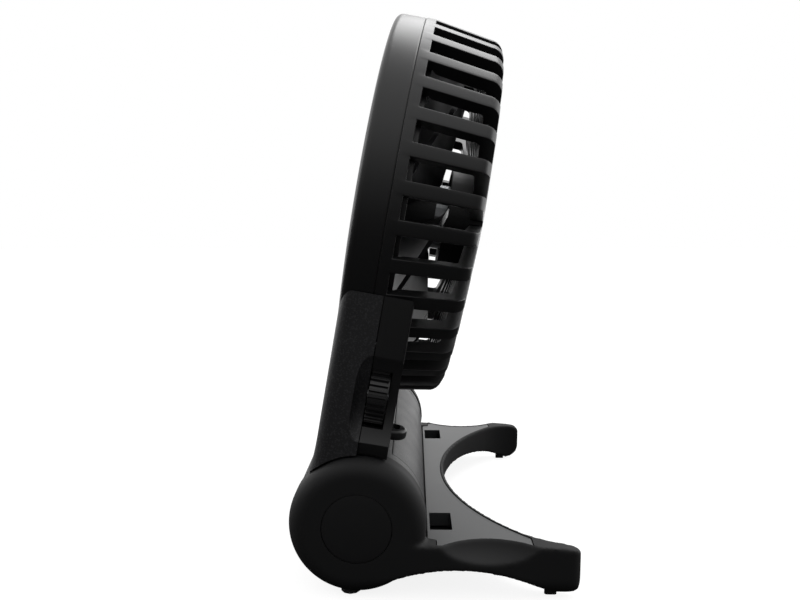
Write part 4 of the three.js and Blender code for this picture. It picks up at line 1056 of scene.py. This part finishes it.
def makeRearFrame():
    seam = neck["seam"] + assembly["seamGap"] / 2
    width, wall = neck["halfWidth"], neck["wall"]
    frameBody = block((seam, -width, neck["foot"]), (neck["rear"], width, neck["top"]))

    def onRearEdge(p):
        return abs(abs(p.y) - width) < closeness and abs(p.x - neck["rear"]) < closeness

    selectEdges(frameBody, lambda a, b: onRearEdge(a) and onRearEdge(b))
    bpy.ops.mesh.bevel(offset=mm(neck["rearEdge"]), segments=2, affect="EDGES")
    leaveEdit()
    high, low, drawnIn = rearFrame["taper"]
    start = seam - 1
    for sign in (-1, 1):
        taper = [(start, sign * (width + 0.01), high), (start, sign * (width + 3), high),
                 (start, sign * (width + 3), low), (start, sign * (width - drawnIn), low)]
        carve(frameBody, [pullOutline(taper, (20, 0, 0))])
    carve(frameBody, cheekRooms())
    room, halfRoom = barrel["radius"] + barrel["clearance"], neck["cheekRoom"][0]
    carve(frameBody, [drum(room, -halfRoom, halfRoom), headRoom(neck["cradle"]), scoopTool(0)])
    hollow = block((start, -width + wall, neck["foot"]),
                   (neck["rear"] - wall, width - wall, neck["top"] + 5))
    carve(hollow, [headRoom(neck["cradle"] + wall), scoopTool(wall), drum(room + wall, -90, 90)])
    slotHalf = rearFrame["slotHalf"]
    slot = block((start, -width - 5, neck["wheelHeight"] - slotHalf),
                 (rearFrame["slotRear"], -width + rearFrame["slotDepth"],
                  neck["wheelHeight"] + slotHalf))
    carve(frameBody, [hollow, slot])
    depth, radius = rearFrame["screwSeat"]
    floor = neck["rear"] - depth
    for y, z in rearFrame["screws"]:
        seat = [(floor, 0), (floor, radius), (10, radius), (10, 0)]
        carve(frameBody, [turnProfile(seat, "X", (0, y, z), 32)])
    roundEdges(frameBody, neck["edge"], 2, 55)
    carve(frameBody, [latchEye(-1), latchEye(1)], "UNION")
    finishPiece(frameBody, "neck_rear_frame", "body", "cage_plastic", "rear_frame", True, 40)


# One rib of the thumb wheel is [share of its pitch, share of its depth].
wheel = {
    "radius": 10.0,
    "axisY": -65.6,
    "front": -4.2,
    "rear": 2.7,
    "ribs": 28,
    "ribDepth": 0.9,
    "ribShape": [(0.0, 0), (0.14, 0), (0.28, 0), (0.4, 0.8), (0.5, 1), (0.88, 1)],
    "flange": 0.5,
    "flangeOverlap": 0.2,
    "flangeRadii": (9.8, 9.6),
    "bore": 2.3,
}


def makeWheel():
    points = []
    for i in range(wheel["ribs"]):
        for share, depth in wheel["ribShape"]:
            turn = math.tau * (i + share) / wheel["ribs"]
            radius = wheel["radius"] - wheel["ribDepth"] * depth
            points.append((wheel["front"], wheel["axisY"] + radius * math.cos(turn),
                           neck["wheelHeight"] + radius * math.sin(turn)))
    rear, front = wheel["rear"], wheel["rear"] - wheel["flange"]
    frontRadius, rearRadius = wheel["flangeRadii"]
    body = pullOutline(points, (front + wheel["flangeOverlap"] - wheel["front"], 0, 0))
    centre = (0, wheel["axisY"], neck["wheelHeight"])
    flange = turnProfile([(front, 0), (front, frontRadius), (rear, rearRadius), (rear, 0)],
                         "X", centre, 84)
    carve(body, [flange], "UNION")
    bore = wheel["bore"]
    carve(body, [turnProfile([(-9, 0), (-9, bore), (9, bore), (9, 0)], "X", centre, 32)])
    finishPiece(body, "ribbed_wheel", "wheel", "cage_plastic", "speed_wheel", True, 30)


for make in (makeRing, makeCage, makeRotor, makeGrille, makeStand, makePlate, makeCaps,
             makeFrontShell, makeDoor, makeRearFrame, makeWheel):
    make()
print("pieces ready")


# The camera as fitted to the photograph: its width and focal length in pixels, its place in
# millimetres and its turns in radians.
photo = {
    "width": 800,
    "focal": 683.98,
    "sensor": 36,
    "place": (-7.64, -307.04, 129.85),
    "yaw": -0.0192,
    "pitch": 0.1037,
}


def makeCamera():
    yaw, pitch = photo["yaw"], photo["pitch"]
    ahead = Vector((math.sin(yaw) * math.cos(pitch), math.cos(yaw) * math.cos(pitch),
                    -math.sin(pitch)))
    right = Vector((math.cos(yaw), -math.sin(yaw), 0))
    up = right.cross(ahead)
    data = bpy.data.cameras.new("camera")
    data.sensor_fit = "HORIZONTAL"
    data.sensor_width = photo["sensor"]
    data.lens = photo["sensor"] * photo["focal"] / photo["width"]
    data.clip_start = 0.01
    camera = bpy.data.objects.new("camera", data)
    bpy.context.scene.collection.objects.link(camera)
    camera.matrix_world = Matrix.Translation(spot(*photo["place"])) @ Matrix(
        (right, up, -ahead)).transposed().to_4x4()
    bpy.context.scene.camera = camera


# Strengths of light, and the ramps between them: along the floor in metres beyond the object,
# and in the world by the Y or Z of the direction.
studio = {
    "floorTone": "#3c3c3c",
    "shownTone": "#848484",
    "shownGlow": 0.86,
    "floorGlow": 3.0,
    "glowFrom": (0.15, 0.6),
    "glowFade": (0.8, 1.4),
    "glowLeft": 0.3,
    "farSide": 1.4,
    "nearSide": 0.2,
    "beyondRamp": (-0.2, 0.45),
    "overhead": 1.0,
    "overheadRamp": (0.1, 0.9),
}


# A smooth step of a value from one level to another.
def addRamp(tree, value, ends, levels):
    return addNode(tree, "ShaderNodeMapRange",
                   {"From Min": ends[0], "From Max": ends[1], "To Min": levels[0],
                    "To Max": levels[1], "interpolation_type": "SMOOTHSTEP"},
                   {"Value": value}).outputs["Result"]


# What a camera ray meets in place of what all other rays meet.
def addShown(tree, shown, others):
    path = addNode(tree, "ShaderNodeLightPath")
    level = addNode(tree, "ShaderNodeMix", {"data_type": "FLOAT"})
    level.inputs[3].default_value = shown
    tree.links.new(path.outputs["Is Camera Ray"], level.inputs[0])
    tree.links.new(others, level.inputs[2])
    return level.outputs[0]


# A pale sweep that glows in a band beyond the object and is dim on the camera's side of it. The
# camera sees it as the white of the background, a little darker where the shadow falls.
def makeFloor():
    leaveEdit()
    bpy.ops.object.select_all(action="DESELECT")
    bpy.ops.mesh.primitive_plane_add(size=8, location=(0, 0, 0))
    floor = bpy.context.object
    floor.name = "floor"
    material, tree = startMaterial("paleSweep")
    path = addNode(tree, "ShaderNodeLightPath")
    tone = addBlend(tree, path.outputs["Is Camera Ray"], studio["floorTone"],
                    studio["shownTone"])
    matt = addNode(tree, "ShaderNodeBsdfDiffuse", links={"Color": tone})
    place = addNode(tree, "ShaderNodeTexCoord").outputs["Object"]
    parts = addNode(tree, "ShaderNodeSeparateXYZ", links={"Vector": place})
    band = addNode(tree, "ShaderNodeMath", {"operation": "MULTIPLY"})
    for i, (ends, levels) in enumerate(((studio["glowFrom"], (0.0, studio["floorGlow"])),
                                        (studio["glowFade"], (1.0, studio["glowLeft"])))):
        tree.links.new(addRamp(tree, parts.outputs["Y"], ends, levels), band.inputs[i])
    glow = addShown(tree, studio["shownGlow"], band.outputs[0])
    lit = addNode(tree, "ShaderNodeEmission", {"Color": (1, 1, 1, 1)}, {"Strength": glow})
    both = addNode(tree, "ShaderNodeAddShader")
    tree.links.new(matt.outputs[0], both.inputs[0])
    tree.links.new(lit.outputs[0], both.inputs[1])
    addNode(tree, "ShaderNodeOutputMaterial", links={"Surface": both.outputs[0]})
    floor.data.materials.append(material)


# White all round to the camera. To the object it is a studio: bright beyond, softer overhead and
# dim on the camera's side, so that faces turned to the camera stay black.
def makeWorld():
    world = bpy.data.worlds.new("studio")
    bpy.context.scene.world = world
    world.use_nodes = True
    tree = world.node_tree
    tree.nodes.clear()
    towards = addNode(tree, "ShaderNodeTexCoord").outputs["Generated"]
    parts = addNode(tree, "ShaderNodeSeparateXYZ", links={"Vector": towards})
    beyond = addRamp(tree, parts.outputs["Y"], studio["beyondRamp"],
                     (studio["nearSide"], studio["farSide"]))
    above = addRamp(tree, parts.outputs["Z"], studio["overheadRamp"], (0.0, 1.0))
    level = addNode(tree, "ShaderNodeMix", {"data_type": "FLOAT"})
    level.inputs[3].default_value = studio["overhead"]
    tree.links.new(above, level.inputs[0])
    tree.links.new(beyond, level.inputs[2])
    sky = addNode(tree, "ShaderNodeBackground", {"Color": (1, 1, 1, 1)},
                  {"Strength": addShown(tree, 1.0, level.outputs[0])})
    addNode(tree, "ShaderNodeOutputWorld", links={"Surface": sky.outputs[0]})


# Soft boxes: [place, aim, width, height, watts].
lamps = {
    "topBox": [(130, 190, 590), (0, 0, 100), 420, 300, 1.5],
    "leftBox": [(-520, 40, 300), (0, 0, 110), 260, 420, 0.6],
    "rightBox": [(540, 40, 150), (0, 0, 120), 180, 420, 0.5],
}


def makeLamps():
    for name, (place, aim, width, height, watts) in lamps.items():
        data = bpy.data.lights.new(name, "AREA")
        data.shape = "RECTANGLE"
        data.size = mm(width)
        data.size_y = mm(height)
        data.energy = watts
        lamp = bpy.data.objects.new(name, data)
        bpy.context.scene.collection.objects.link(lamp)
        lamp.location = spot(*place)
        lamp.rotation_euler = (spot(*aim) - spot(*place)).to_track_quat("-Z", "Y").to_euler()


makeCamera()
makeFloor()
makeWorld()
makeLamps()
bpy.context.scene.view_settings.view_transform = "Standard"
